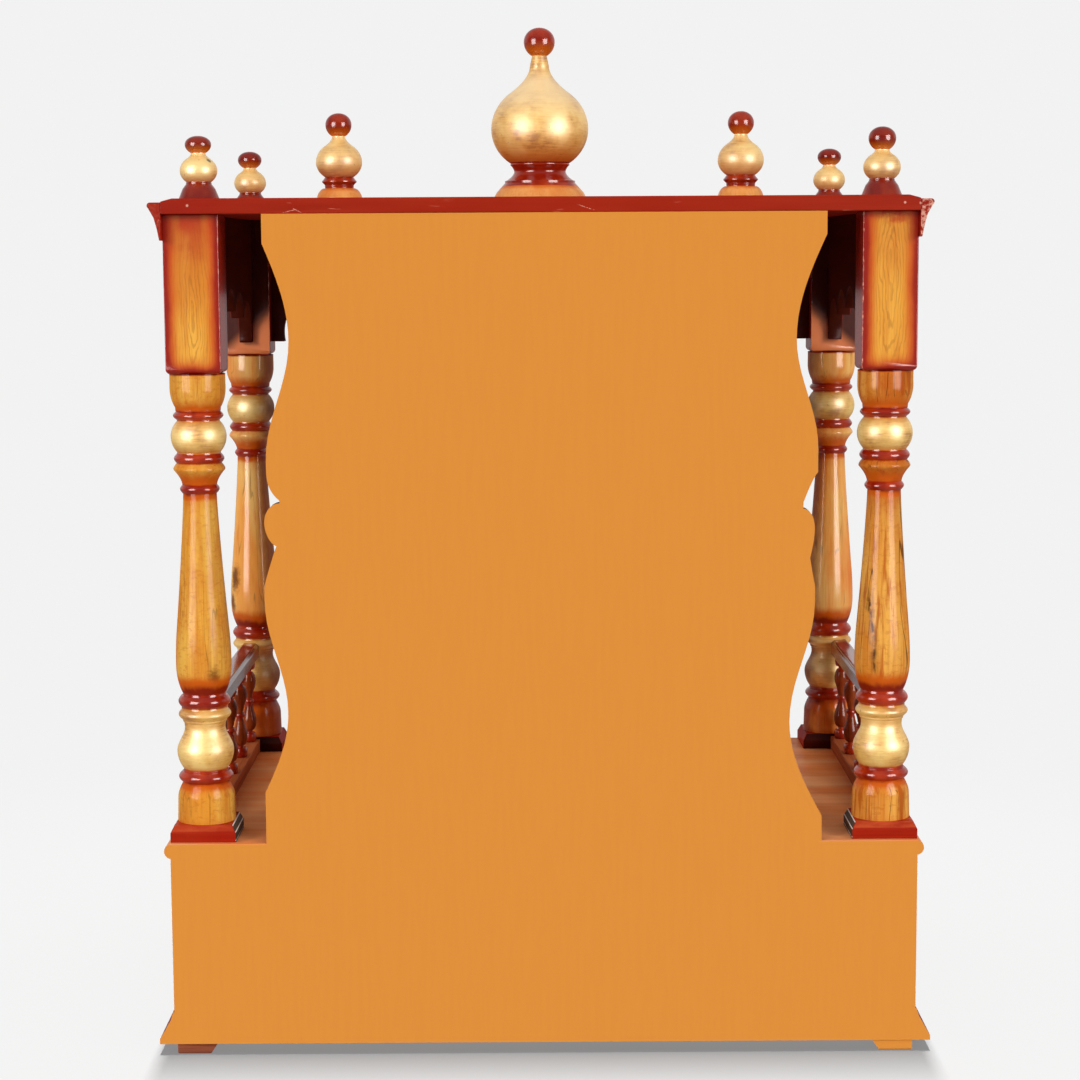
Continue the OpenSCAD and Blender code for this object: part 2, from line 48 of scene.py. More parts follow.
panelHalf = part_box("back_panel")[1].x
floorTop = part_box("floor_board")[1].z
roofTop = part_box("roof_board")[1].z
print("frame loaded:", len(nodes), "pieces")

# the camera stands behind the shrine, a little over its middle
camera = {
    "place": (0.0037, 2.0397, 0.635),  # metres
    "pitchDown": 6.927,                # degrees under level
    "turn": -0.057,                    # degrees about the upright
    "roll": 0.315,                     # degrees
    "lens": 79.25,                     # mm
    "sensor": 36,                      # mm
}


def makeCamera():
    data = bpy.data.cameras.new("camera")
    data.sensor_width = camera["sensor"]
    data.lens = camera["lens"]
    obj = bpy.data.objects.new("camera", data)
    bpy.context.scene.collection.objects.link(obj)
    look = Matrix.Rotation(math.radians(180 + camera["turn"]), 4, "Z")
    look @= Matrix.Rotation(math.radians(90 - camera["pitchDown"]), 4, "X")
    look @= Matrix.Rotation(math.radians(-camera["roll"]), 4, "Z")
    obj.matrix_world = Matrix.Translation(camera["place"]) @ look
    bpy.context.scene.camera = obj


makeCamera()
print("camera ready")


def linear(red, green, blue):  # screen colour to scene colour
    def one(v):
        v /= 255
        return v / 12.92 if v <= 0.04045 else ((v + 0.055) / 1.055) ** 2.4
    return (one(red), one(green), one(blue), 1.0)


# the next functions put nodes into a material

def feed(tree, socket, value):
    if isinstance(value, bpy.types.NodeSocket):
        tree.links.new(value, socket)
    else:
        socket.default_value = value


def put(tree, kind, inputs=None, **settings):
    made = tree.nodes.new("ShaderNode" + kind)
    for key, value in settings.items():
        setattr(made, key, value)
    for key, value in (inputs or {}).items():
        feed(tree, made.inputs[key], value)
    return made


def calc(tree, operation, *values):
    made = put(tree, "Math", operation=operation)
    for socket, value in zip(made.inputs, values):
        feed(tree, socket, value)
    return made.outputs[0]


def times(tree, first, second):
    return calc(tree, "MULTIPLY", first, second)


def within(tree, value, low, high):  # 1 from low to high, 0 elsewhere
    return times(tree, calc(tree, "GREATER_THAN", value, low), calc(tree, "LESS_THAN", value, high))


def roughen(tree, value, rough, reach):  # noise moves a measured value, by half of reach either way
    return calc(tree, "ADD", value, calc(tree, "MULTIPLY_ADD", rough, reach, -reach / 2))


def lessen(tree, value, mask, share):  # takes a share away where the mask is 1
    return times(tree, value, calc(tree, "MULTIPLY_ADD", mask, -share, 1.0))


def fade(tree, value, low, high, start=0.0, end=1.0):  # smooth step from low to high
    made = put(tree, "MapRange", {"Value": value, "From Min": low, "From Max": high,
                                  "To Min": start, "To Max": end}, interpolation_type="SMOOTHSTEP")
    return made.outputs[0]


def blend(tree, factor, first, second):
    made = put(tree, "Mix", data_type="RGBA")
    feed(tree, made.inputs[0], factor)
    feed(tree, made.inputs[6], first)
    feed(tree, made.inputs[7], second)
    return made.outputs[2]


def paint(tree, factor, under, colour):  # lays a screen colour over what is there
    return blend(tree, factor, under, linear(*colour))


def steps(tree, value, stops, low, high):  # grey or colour stops along a measured value
    span = put(tree, "MapRange", {"Value": value, "From Min": low, "From Max": high})
    made = put(tree, "ValToRGB", {0: span.outputs[0]})
    band = made.color_ramp
    while len(band.elements) > 1:
        band.elements.remove(band.elements[-1])
    for i, (at, tint) in enumerate(stops):
        spot = min(max((at - low) / (high - low), 0.0), 1.0)
        element = band.elements[0] if i == 0 else band.elements.new(spot)
        element.position = spot
        element.color = tint if isinstance(tint, tuple) else (tint, tint, tint, 1.0)
    return made.outputs[0]


def noise(tree, place, scale, detail=3.0, roughness=0.55, distortion=0.0):
    made = put(tree, "TexNoise", {"Vector": place, "Scale": scale, "Detail": detail,
                                  "Roughness": roughness, "Distortion": distortion})
    return made.outputs[0]


def speckle(tree, place, scale, detail, low, high, start=0.0, end=1.0):  # even noise as a mask
    return fade(tree, noise(tree, place, scale, detail), low, high, start, end)


def drawn(tree, place, axis, stretch, shift=(0, 0, 0)):  # space drawn out along the grain
    scale = [1.0, 1.0, 1.0]
    scale["XYZ".index(axis)] = stretch
    return put(tree, "Mapping", {"Vector": place, "Location": shift, "Scale": scale}).outputs[0]


# noise along the grain as a mask; a layer is its stretch along the grain, scale, detail and
# roughness, then from where to where it fades in
def grain(tree, place, axis, layer, shift=(0, 0, 0), distortion=0.0, start=0.0, end=1.0):
    stretch, scale, detail, roughness, low, high = layer
    rough = noise(tree, drawn(tree, place, axis, stretch, shift), scale, detail, roughness, distortion)
    return fade(tree, rough, low, high, start, end)


def axesOf(tree, vector):
    return put(tree, "SeparateXYZ", {0: vector}).outputs


def facing(tree):  # the way that a face looks, by axis
    return axesOf(tree, put(tree, "TexCoord").outputs["Normal"])


def distance(tree, place, spot):
    return put(tree, "VectorMath", {0: place, 1: spot}, operation="DISTANCE").outputs["Value"]


def newFinish(name):
    finish = bpy.data.materials.new(name)
    finish.use_nodes = True
    tree = finish.node_tree
    place = put(tree, "TexCoord").outputs["Object"]
    return finish, tree, tree.nodes["Principled BSDF"], place


baseRoughness = 0.5  # of the wood or colour under a clear coat


def lacquer(shader, coat, coatRoughness, roughness=baseRoughness):
    shader.inputs["Roughness"].default_value = roughness
    shader.inputs["Coat Weight"].default_value = coat
    shader.inputs["Coat Roughness"].default_value = coatRoughness
    shader.inputs["Specular IOR Level"].default_value = 0.0


# depth in metres and strength of the fine relief
reliefs = {
    "lacquered": (0.00008, 0.4), "painted": (0.00006, 0.4), "turned": (0.00014, 0.5),
    "roof": (0.0001, 0.5), "bare": (0.0002, 0.6),
}


def relief(tree, shader, height, kind):
    depth, strength = reliefs[kind]
    made = put(tree, "Bump", {"Height": height, "Distance": depth, "Strength": strength}).outputs[0]
    tree.links.new(made, shader.inputs["Normal"])
    if kind != "bare":
        tree.links.new(made, shader.inputs["Coat Normal"])


def finishBoard(tree, shader, tint, tones, height, kind="lacquered", roughness=baseRoughness):
    tree.links.new(tint, shader.inputs["Base Color"])
    lacquer(shader, tones["coat"], tones["coatRoughness"], roughness)
    relief(tree, shader, height, kind)


# stained wood: broad soft bands, darker patches, fine fibres and a few thin veins
woodTones = {
    "honey": {"pale": (242, 184, 80), "mid": (230, 152, 52), "dark": (192, 92, 24),
              "vein": (96, 42, 12), "patches": 0.55, "bands": 0.3, "veins": 0.4, "curl": 0.35},
    "amber": {"pale": (242, 176, 80), "mid": (226, 144, 52), "dark": (180, 78, 18),
              "vein": (70, 28, 8), "patches": 0.6, "bands": 0.8, "veins": 0.8, "curl": 0.3},
    "rose": {"pale": (255, 204, 118), "mid": (255, 172, 78), "dark": (232, 106, 34),
             "vein": (90, 34, 12), "patches": 0.6, "bands": 0.25, "veins": 0.4},
    "bell": {"pale": (242, 176, 100), "mid": (230, 150, 74), "dark": (206, 108, 42),
             "vein": (150, 70, 24), "patches": 0.5, "bands": 0.0, "veins": 0.0},
    "bare": {"pale": (204, 162, 112), "mid": (184, 138, 88), "dark": (150, 104, 62),
             "vein": (104, 70, 40), "patches": 0.5, "bands": 0.2, "veins": 0.4},
    "dusk": {"pale": (172, 78, 30), "mid": (128, 46, 16), "dark": (80, 22, 8),
             "vein": (44, 14, 6), "patches": 0.5, "bands": 0.4, "veins": 0.3},
}
woodLayers = {
    "broad": (0.13, 62.0, 2.0, 0.55, 0.34, 0.66),
    "patch": (0.35, 24.0, 3.0, 0.55, 0.48, 0.72),
    "band": (0.07, 170.0, 3.0, 0.6, 0.5, 0.66),
    "fibre": (0.025, 520.0, 3.0, 0.6, 0.46, 0.74),
    "curl": (1.8, 190.0, 4.0, 0.65, 0.5, 0.66),
    "broken": (0.1, 190.0, 3.0, 0.6, 0.42, 0.6),  # where a vein shows
}
fibreDark = 0.35
curlTwist = 0.4
# a vein runs where a wavy noise passes its level, and thins out from the first to the second width
veinShape = {"stretch": 0.05, "noise": (85.0, 1.5, 0.5, 0.3), "level": 0.44, "width": (0.016, 0.004)}


def fibre(tree, place, axis):  # fine streaks along the grain, for relief
    stretch, *rough = woodLayers["fibre"][:4]
    return noise(tree, drawn(tree, place, axis, stretch), *rough)


def veinMask(tree, place, axis, shift):
    across = (shift[1], shift[0], shift[2])
    wave = noise(tree, drawn(tree, place, axis, veinShape["stretch"], across), *veinShape["noise"])
    away = calc(tree, "ABSOLUTE", calc(tree, "SUBTRACT", wave, veinShape["level"]))
    thin = fade(tree, away, *veinShape["width"])
    return times(tree, thin, grain(tree, place, axis, woodLayers["broken"]))


def woodColour(tree, place, axis, tones, shift=(0, 0, 0)):
    broad = grain(tree, place, axis, woodLayers["broad"], shift)
    body = blend(tree, broad, linear(*tones["pale"]), linear(*tones["mid"]))
    patch = grain(tree, place, axis, woodLayers["patch"], shift)
    body = paint(tree, times(tree, patch, tones["patches"]), body, tones["dark"])
    if tones["bands"]:
        band = grain(tree, place, axis, woodLayers["band"], shift)
        body = paint(tree, times(tree, band, tones["bands"]), body, tones["dark"])
    streak = grain(tree, place, axis, woodLayers["fibre"])
    body = paint(tree, times(tree, streak, fibreDark), body, tones["dark"])
    if "curl" in tones:  # short ripples across the grain
        curl = grain(tree, place, axis, woodLayers["curl"], shift, curlTwist)
        body = paint(tree, times(tree, curl, tones["curl"]), body, tones["dark"])
    vein = times(tree, veinMask(tree, place, axis, shift), tones["veins"])
    return paint(tree, vein, body, tones["vein"])


# red lacquer on rails, boards, mouldings and plinths
redTones = {
    "roof": {"deep": (124, 16, 4), "base": (156, 30, 10), "warm": (166, 42, 18), "streaks": 0.25,
             "coat": 0.12, "coatRoughness": 0.35},
    "trim": {"deep": (104, 12, 3), "base": (150, 22, 6), "warm": (172, 40, 14), "streaks": 0.4,
             "coat": 0.45, "coatRoughness": 0.14},
    "plinth": {"deep": (120, 8, 2), "base": (160, 24, 6), "warm": (176, 44, 14), "streaks": 0.4,
               "coat": 0.2, "coatRoughness": 0.2},
    "topRail": {"deep": (84, 22, 10), "base": (140, 54, 28), "warm": (168, 78, 46), "streaks": 0.5,
                "coat": 1.0, "coatRoughness": 0.12},
    "lowRail": {"deep": (120, 50, 24), "base": (180, 88, 46), "warm": (202, 112, 66), "streaks": 0.5,
                "coat": 0.15, "coatRoughness": 0.3},
    "floor": {"deep": (206, 106, 52), "base": (250, 142, 74), "warm": (255, 178, 118), "streaks": 0.22,
              "coat": 0.25, "coatRoughness": 0.3},
    # inside and arch are near-black tones for faces in the shrine's shade: painted shade
    "inside": {"deep": (30, 5, 2), "base": (52, 10, 4), "warm": (70, 16, 6), "streaks": 0.4,
               "coat": 0.1, "coatRoughness": 0.3},
    "arch": {"deep": (54, 14, 6), "base": (74, 22, 10), "warm": (86, 28, 14), "streaks": 0.3,
             "coat": 0.1, "coatRoughness": 0.3},
    "foot": {"deep": (84, 26, 12), "base": (128, 52, 28), "warm": (176, 104, 72), "streaks": 0.7,
             "coat": 0.5, "coatRoughness": 0.2},
}
redLayers = {"cloud": (0.22, 26.0, 3.0, 0.55, 0.32, 0.68), "band": (0.05, 95.0, 3.0, 0.55, 0.44, 0.68)}
fineShare = 0.6        # how much weaker the fine streaks are than the broad ones
squarely = (0.5, 0.8)  # a face takes its second colour as it turns from the first to the second


def redColour(tree, place, axis, tones):
    cloud = grain(tree, place, axis, redLayers["cloud"])
    tint = blend(tree, cloud, linear(*tones["base"]), linear(*tones["warm"]))
    bands = grain(tree, place, axis, redLayers["band"])
    tint = paint(tree, times(tree, bands, tones["streaks"]), tint, tones["deep"])
    lines = grain(tree, place, axis, woodLayers["fibre"])
    return paint(tree, times(tree, lines, fineShare * tones["streaks"]), tint, tones["deep"])


def makeRed(name, axis, tones, otherTones=None, otherAxis="Y", sign=1):
    finish, tree, shader, place = newFinish(name)
    tint = redColour(tree, place, axis, tones)
    if otherTones:  # on the faces turned one way
        turned = times(tree, facing(tree)[otherAxis], sign)
        other = redColour(tree, place, axis, otherTones)
        tint = blend(tree, fade(tree, turned, *squarely), tint, other)
    finishBoard(tree, shader, tint, tones, fibre(tree, place, axis))
    return finish


# levels in metres over the floor board; the glint lines are pale painted highlights along the edges
# of the sides turned to the middle
plinthMarks = {
    "pale": (232, 220, 210), "bare": (70, 54, 40), "orange": (190, 72, 34),
    "edges": [(0.0012, 0.0019), (0.0078, 0.0086), (0.0126, 0.014)],
    "slope": (0.0082, 0.0095),
    "inward": (0.5, 0.62), "notInward": (0.3, 0.0),
    "worn": (0.2, 120.0, 2.0, 0.55, 0.4, 0.6), "wornShare": (0.1, 0.45),
    "ragged": (0.3, 150.0, 3.0, 0.55, 0.35, 0.65), "raggedShare": (0.3, 1.0),
}


def makePlinth(name, outX):  # the sides turned to the middle are dark brown, with pale painted highlight lines along their edges
    tones = redTones["plinth"]
    finish, tree, shader, place = newFinish(name)
    tint = redColour(tree, place, "X", tones)
    inward = times(tree, facing(tree)["X"], -outX)
    level = axesOf(tree, place)["Z"]
    pale = 0.0
    for low, high in plinthMarks["edges"]:
        pale = calc(tree, "MAXIMUM", pale, within(tree, level, floorTop + low, floorTop + high))
    side = blend(tree, pale, linear(*plinthMarks["bare"]), linear(*plinthMarks["pale"]))
    tint = blend(tree, fade(tree, inward, *plinthMarks["inward"]), tint, side)
    start, end = plinthMarks["wornShare"]
    worn = grain(tree, place, "X", plinthMarks["worn"], start=start, end=end)
    low, high = plinthMarks["edges"][0]
    line = within(tree, level, floorTop + low, floorTop + high)
    tint = paint(tree, times(tree, line, worn), tint, tones["warm"])
    outer = fade(tree, inward, *plinthMarks["notInward"])
    low, high = plinthMarks["slope"]
    slope = times(tree, fade(tree, level, floorTop + low, floorTop + high), outer)
    start, end = plinthMarks["raggedShare"]
    ragged = grain(tree, place, "X", plinthMarks["ragged"], start=start, end=end)
    tint = paint(tree, times(tree, slope, ragged), tint, plinthMarks["orange"])
    finishBoard(tree, shader, tint, tones, fibre(tree, place, "X"))
    return finish


# the flat orange paint over the whole back; it reaches in from the rear face, and stops short of
# the floor board's upper edge, by lengths in metres
orangePaint = {
    "tint": (223, 143, 60), "thin": (222, 142, 59), "brushed": (0.1, 260.0, 3.0, 0.55, 0.35, 0.65),
    "reach": 0.0006, "short": 0.0005, "roughness": 0.9,
}


def orangeColour(tree, place):
    brushed = grain(tree, place, "Z", orangePaint["brushed"])
    return blend(tree, brushed, linear(*orangePaint["tint"]), linear(*orangePaint["thin"]))


# tones are for the lacquer where the paint stops: the board's front, its edges and its inside
def makeBackPainted(name, axis, rearY, tones, rim=0.0, side=0):
    finish, tree, shader, place = newFinish(name)
    under = redColour(tree, place, axis, tones)
    axes = axesOf(tree, place)
    rear = calc(tree, "GREATER_THAN", axes["Y"], rearY - orangePaint["reach"])
    if rim:  # beside the panel the paint stops short of the upper edge
        low = calc(tree, "LESS_THAN", axes["Z"], rim)
        inner = calc(tree, "LESS_THAN", calc(tree, "ABSOLUTE", axes["X"]), panelHalf)
        rear = times(tree, rear, calc(tree, "MAXIMUM", low, inner))
    if side:  # only what stands on that side is painted
        rear = times(tree, rear, calc(tree, "GREATER_THAN", times(tree, axes["X"], side), 0.0))
    tint = blend(tree, rear, under, orangeColour(tree, place))
    finishBoard(tree, shader, tint, tones, fibre(tree, place, axis), "painted")
    tree.links.new(fade(tree, rear, 0.0, 1.0, tones["coat"], 0.0), shader.inputs["Coat Weight"])
    duller = orangePaint["roughness"] - baseRoughness
    tree.links.new(calc(tree, "MULTIPLY_ADD", rear, duller, baseRoughness), shader.inputs["Roughness"])
    return finish


# turned pieces: honey wood with stained ends, red lacquered rings and gold painted balls
# brown and inner golds are painted shade; burnt is stain and painted shade; peach is partly painted
# reflection
paints = {
    "orange": (208, 92, 16), "burnt": (138, 34, 10), "thin": (224, 122, 34),
    "red": (148, 28, 7), "redWarm": (182, 54, 14), "redDark": (92, 12, 6),
    "goldPale": (252, 211, 122), "gold": (234, 180, 84), "goldDeep": (166, 100, 34),
    "goldBrown": (204, 106, 18), "goldPeach": (255, 222, 172), "goldInnerShade": (140, 74, 22),
    "ding": (96, 76, 56),
}

# levels are in mm over the foot of a pillar; stain runs from 0, honey, over 0.5, orange, to 1,
# burnt red, and shade from 0, gold, to 1, brown, a painted shade at the ends of the gold; soft is
# how wide the edge of a red band is
pillarZones = {
    "red": [(31, 42.3), (90.6, 103.5), (262, 269), (286, 294), (319.4, 327.5)],
    "gold": [(42.3, 90.6), (294.3, 319.1)],
    # the last stain stops, at the top of the drum, paint a dark line in the joint under the block: painted
    # shadow
    "stain": [(0, 0.14), (5, 0.05), (19, 0.06), (25, 0.18), (29, 0.5), (31, 0.7), (91, 0.95),
              (103.5, 1.3), (107, 0.95), (112, 0.52), (120, 0.1), (140, 0.0), (246, 0.0), (256, 0.18),
              (262, 0.8), (270, 0.58), (276, 0.36), (280, 0.12), (286, 0.2), (327.5, 0.6), (331, 0.34),
              (337, 0.1), (354.6, 0.05), (355.4, 1.0), (356, 1.2)],
    "shade": [(42, 0.5), (46, 0.14), (52, 0.0), (72, 0.0), (78, 0.3), (84, 0.1), (91, 0.35),
              (294, 0.55), (298, 0.14), (303, 0.0), (311, 0.0), (315, 0.14), (319, 0.55)],
    "soft": 0.8, "height": 356,
}

# levels in mm over the roof; the red is worn thin over the stretch under a knob; shade is a painted
# shade at the foot of the gold, and peach pales the gold, on the dome as a painted reflection over
# its upper part
finialZones = {
    "dome": {"red": [(13.2, 33.0), (121.8, 150)], "gold": [(33.0, 121.8)], "knob": (121.8, 135.0),
             "stain": [(0, 0.1), (10, 0.12), (13, 0.4), (121.8, 0.3), (150, 0.4)],
             "shade": [(33, 0.95), (37, 0.7), (42, 0.35), (48, 0.12), (56, 0.0)],
             "peach": [(68, 0.0), (84, 0.6), (100, 0.7), (112, 0.0)],
             "darkRed": 0.15, "soft": 0.5, "height": 150},
    "mid": {"red": [(12.3, 21.9), (56.0, 80)], "gold": [(21.9, 56.0)], "knob": (55.7, 65.0),
            "stain": [(0, 0.1), (9, 0.14), (12.3, 0.4), (56, 0.3), (80, 0.4)],
            "shade": [(21, 0.8), (24, 0.4), (28, 0.1), (34, 0.0)],
            "peach": [(21, 0.2), (56, 0.2)],
            "darkRed": 0.3, "soft": 0.5, "height": 80},
    "corner": {"red": [(-1, 13.3), (35.5, 60)], "gold": [(13.3, 35.5)], "knob": (35.5, 43.0),
               "stain": [(0, 0.8), (35, 0.3), (60, 0.4)],
               "shade": [(13, 0.7), (15, 0.3), (18, 0.1), (22, 0.0)],
               "peach": [(13, 0.2), (36, 0.2)],
               "darkRed": 0.5, "soft": 0.5, "height": 60},
}

# levels in mm over the low rail
balusterZones = {
    "red": [(-1, 11), (34, 41), (64, 80)], "gold": [],
    "stain": [(0, 0.0), (80, 0.0)], "soft": 3.0, "height": 80,
}

# shift is the place in the log; knots are (place, size), a crack is x and z at its top and at its
# foot and a ding is its place, in metres from the middle of the piece's foot; inner is 1 or -1 for
# a pillar with painted shade on its side towards the middle of the shrine
plainLook = {"shift": (0, 0, 0), "coat": 0.4, "knots": [], "crack": None, "inner": 0, "ding": None}
pillarLooks = {
    "pillar_rear_right": {"tones": "honey", "shift": (0.31, 0.12, 0.07), "coat": 0.2,
                          "knots": [((-0.012, 0.0205, 0.1145), 0.0085)]},
    "pillar_rear_left": {"tones": "amber", "shift": (0.83, 0.41, 0.37), "coat": 0.24,
                         "crack": ((0.0135, 0.1905), (0.0075, 0.1145))},
    "pillar_front_right": {"tones": "rose", "shift": (0.57, 0.93, 0.61), "coat": 0.5, "inner": 1,
                           "knots": [((0.0185, 0.0105, 0.1245), 0.007),
                                     ((0.0165, 0.0135, 0.1485), 0.009)]},
    "pillar_front_left": {"tones": "rose", "shift": (0.19, 0.77, 0.87), "coat": 0.5, "inner": -1},
}
millimetres = 1000.0  # in a metre


def zoneStops(bands, soft, top):
    stops = [(0.0, 0.0)]
    for low, high in bands:
        stops += [(low - soft / 2, 0.0), (low + soft / 2, 1.0)]
        stops += [(high - soft / 2, 1.0), (high + soft / 2, 0.0)]
    return stops + [(top, 0.0)]


# a knot is dark over its heart and fades out to its size; reach is how ragged it is, as a share
knotShape = {"stretch": 0.5, "ragged": (320.0, 3.0), "reach": 0.9, "heart": 0.2, "dark": 0.85}


def markKnots(tree, place, body, foot, knots, colour):
    longer = knotShape["stretch"]
    for offset, size in knots:
        spot = foot + Vector(offset)
        away = distance(tree, drawn(tree, place, "Z", longer), (spot.x, spot.y, spot.z * longer))
        away = roughen(tree, away, noise(tree, place, *knotShape["ragged"]), knotShape["reach"] * size)
        dark = fade(tree, away, knotShape["heart"] * size, size, knotShape["dark"], 0.0)
        body = paint(tree, dark, body, colour)
    return body


# the line itself and the haze beside it: from where to where they fade, and their darkness; metres
crackShape = {
    "line": (0.0005, 0.0015, 0.9, 0.0), "haze": (0.0008, 0.0042, 0.45, 0.0),
    "wander": (60.0, 3.0), "reach": 0.006, "lowFade": 0.01, "topFade": 0.02,
    "broken": (140.0, 2.0, 0.36, 0.56, 0.3, 1.0),
}


def markCrack(tree, place, body, foot, crack, colour):  # a dark wandering line down the rear of a shaft
    (topX, topRise), (lowX, lowRise) = crack
    topZ = foot.z + topRise
    lowZ = foot.z + lowRise
    lean = (topX - lowX) / (topZ - lowZ)
    axes = axesOf(tree, place)
    run = calc(tree, "MULTIPLY_ADD", axes["Z"], lean, foot.x + lowX - lowZ * lean)
    run = roughen(tree, run, noise(tree, place, *crackShape["wander"]), crackShape["reach"])
    away = calc(tree, "ABSOLUTE", calc(tree, "SUBTRACT", axes["X"], run))
    line = fade(tree, away, *crackShape["line"])
    line = calc(tree, "MAXIMUM", line, fade(tree, away, *crackShape["haze"]))
    fromLow = fade(tree, axes["Z"], lowZ, lowZ + crackShape["lowFade"])
    fromTop = fade(tree, axes["Z"], topZ, topZ - crackShape["topFade"])
    line = times(tree, line, times(tree, fromLow, fromTop))
    line = times(tree, line, calc(tree, "GREATER_THAN", facing(tree)["Y"], 0.0))
    line = times(tree, line, speckle(tree, place, *crackShape["broken"]))
    return paint(tree, line, body, colour)


stainLook = {
    "uneven": (0.6, 70.0, 3.0),             # stretch along the grain, scale and detail
    "least": 0.3, "spread": 1.4,            # share of the stain that is left where it is thinnest
    "frontFootShade": (29.0, 33.0, 0.25, 0.0),   # painted shade: the foot of a front pillar is darker all round
    # painted shade on the side of a front pillar turned to the middle: how ragged, where it starts, how
    # dark
    "innerReach": 0.6, "innerFrom": {1: 0.15, -1: 0.5}, "innerShadeDark": 0.75,
}


def stainEnds(tree, level, uneven, body, zones, inner):
    stain = steps(tree, level, zones["stain"], 0, zones["height"])
    # painted shade at the foot of a front pillar is laid on as more stain
    if inner:
        stain = calc(tree, "ADD", stain, fade(tree, level, *stainLook["frontFootShade"]))
    stain = times(tree, stain, calc(tree, "MULTIPLY_ADD", uneven, stainLook["spread"], stainLook["least"]))
    body = paint(tree, fade(tree, stain, 0.0, 0.5), body, paints["orange"])
    return paint(tree, fade(tree, stain, 0.5, 1.0), body, paints["burnt"])


def innerShadeMask(tree, uneven, inner):  # painted shade on the side turned to the middle of the shrine
    turned = times(tree, facing(tree)["X"], -inner)
    turned = roughen(tree, turned, uneven, stainLook["innerReach"])
    return fade(tree, turned, stainLook["innerFrom"][inner], 1.0, 0.0, stainLook["innerShadeDark"])


redCloud = (60.0, 2.0, 0.36, 0.66)


def ringRed(tree, place, zones):
    tint = blend(tree, speckle(tree, place, *redCloud), linear(*paints["red"]), linear(*paints["redWarm"]))
    return paint(tree, zones.get("darkRed", 0.0), tint, paints["redDark"])


# gold paint brushed on round the turning, worn through to a deeper gold in places
goldLook = {
    "stretch": 12.0, "brushed": (70.0, 3.0, 0.65), "worn": (46.0, 5.0), "wornShare": 0.72,
    "pale": (0.38, 0.56), "deep": (0.52, 0.66, 0.0, 0.8), "spots": (260.0, 3.0, 0.66, 0.76),
    "spotShare": 0.6, "innerShadeShare": 1.3,
    "dingRagged": 0.002, "ding": (0.0014, 0.0028, 0.95, 0.0),
}


def goldColour(tree, place):
    brushed = noise(tree, drawn(tree, place, "Z", goldLook["stretch"]), *goldLook["brushed"])
    worn = noise(tree, place, *goldLook["worn"])
    share = goldLook["wornShare"]
    mixed = calc(tree, "MULTIPLY_ADD", worn, share, times(tree, brushed, 1 - share))
    pale = fade(tree, mixed, *goldLook["pale"])
    tint = blend(tree, pale, linear(*paints["goldPale"]), linear(*paints["gold"]))
    spots = times(tree, speckle(tree, place, *goldLook["spots"]), goldLook["spotShare"])
    deep = calc(tree, "MAXIMUM", fade(tree, mixed, *goldLook["deep"]), spots)
    return paint(tree, deep, tint, paints["goldDeep"]), brushed


def markDing(tree, place, tint, spot, rough):  # a small knock in the gold shows the dark wood
    away = roughen(tree, distance(tree, place, spot), rough, goldLook["dingRagged"])
    return paint(tree, fade(tree, away, *goldLook["ding"]), tint, paints["ding"])


# clear coat over red and over gold; the gold paint has a softer, stronger shine of its own
gloss = {
    "coatRoughness": 0.15, "redCoat": 0.9, "goldCoat": 1.0,
    "goldCoatRoughness": 0.42, "goldIor": 1.8, "goldMetal": 0.12,
    "shadeDulls": 0.7, "innerDulls": 0.8,
    "ridges": (170.0, 2.0, 0.5), "ridgeStretch": 5.0, "strokes": 0.5,
}


def goldFinish(finish):  # the same finish under the coat of the gold bands
    golden = finish.copy()
    golden.name = finish.name + "_gold"
    shader = golden.node_tree.nodes["Principled BSDF"]
    shader.inputs["Coat Roughness"].default_value = gloss["goldCoatRoughness"]
    shader.inputs["Coat IOR"].default_value = gloss["goldIor"]
    return golden


# levels in mm; the lacquer wears thin on the underside of a knob, down to its least
bandEdges = {"ragged": (150.0, 2.0), "reach": 1.0, "goldSoft": 0.4, "knobMargin": 1.0, "knobLeast": 0.25}


def bandMasks(tree, level, painted, zones):
    height = zones["height"]
    red = steps(tree, painted, zoneStops(zones["red"], zones["soft"], height), 0, height)
    if "knob" in zones:
        knobFoot, knobMiddle = zones["knob"]
        bare = fade(tree, painted, knobFoot, knobMiddle, bandEdges["knobLeast"], 1.0)
        below = calc(tree, "LESS_THAN", level, knobFoot - bandEdges["knobMargin"])
        red = times(tree, red, calc(tree, "MAXIMUM", bare, below))
    gold = steps(tree, painted, zoneStops(zones["gold"], bandEdges["goldSoft"], height), 0, height)
    return red, gold


def glossTurned(tree, shader, place, masks, shine, brushed, coat):
    redMask, goldMask = masks
    lacquer(shader, coat, gloss["coatRoughness"])
    weight = calc(tree, "MULTIPLY_ADD", redMask, gloss["redCoat"] - coat, coat)
    weight = times(tree, weight, calc(tree, "SUBTRACT", 1.0, goldMask))
    weight = calc(tree, "MULTIPLY_ADD", shine, gloss["goldCoat"], weight)
    tree.links.new(weight, shader.inputs["Coat Weight"])
    tree.links.new(times(tree, shine, gloss["goldMetal"]), shader.inputs["Metallic"])
    ridges = noise(tree, drawn(tree, place, "Z", gloss["ridgeStretch"]), *gloss["ridges"])
    strokes = times(tree, times(tree, brushed, goldMask), gloss["strokes"])
    covered = calc(tree, "MAXIMUM", goldMask, redMask)
    relief(tree, shader, blend(tree, covered, ridges, strokes), "turned")


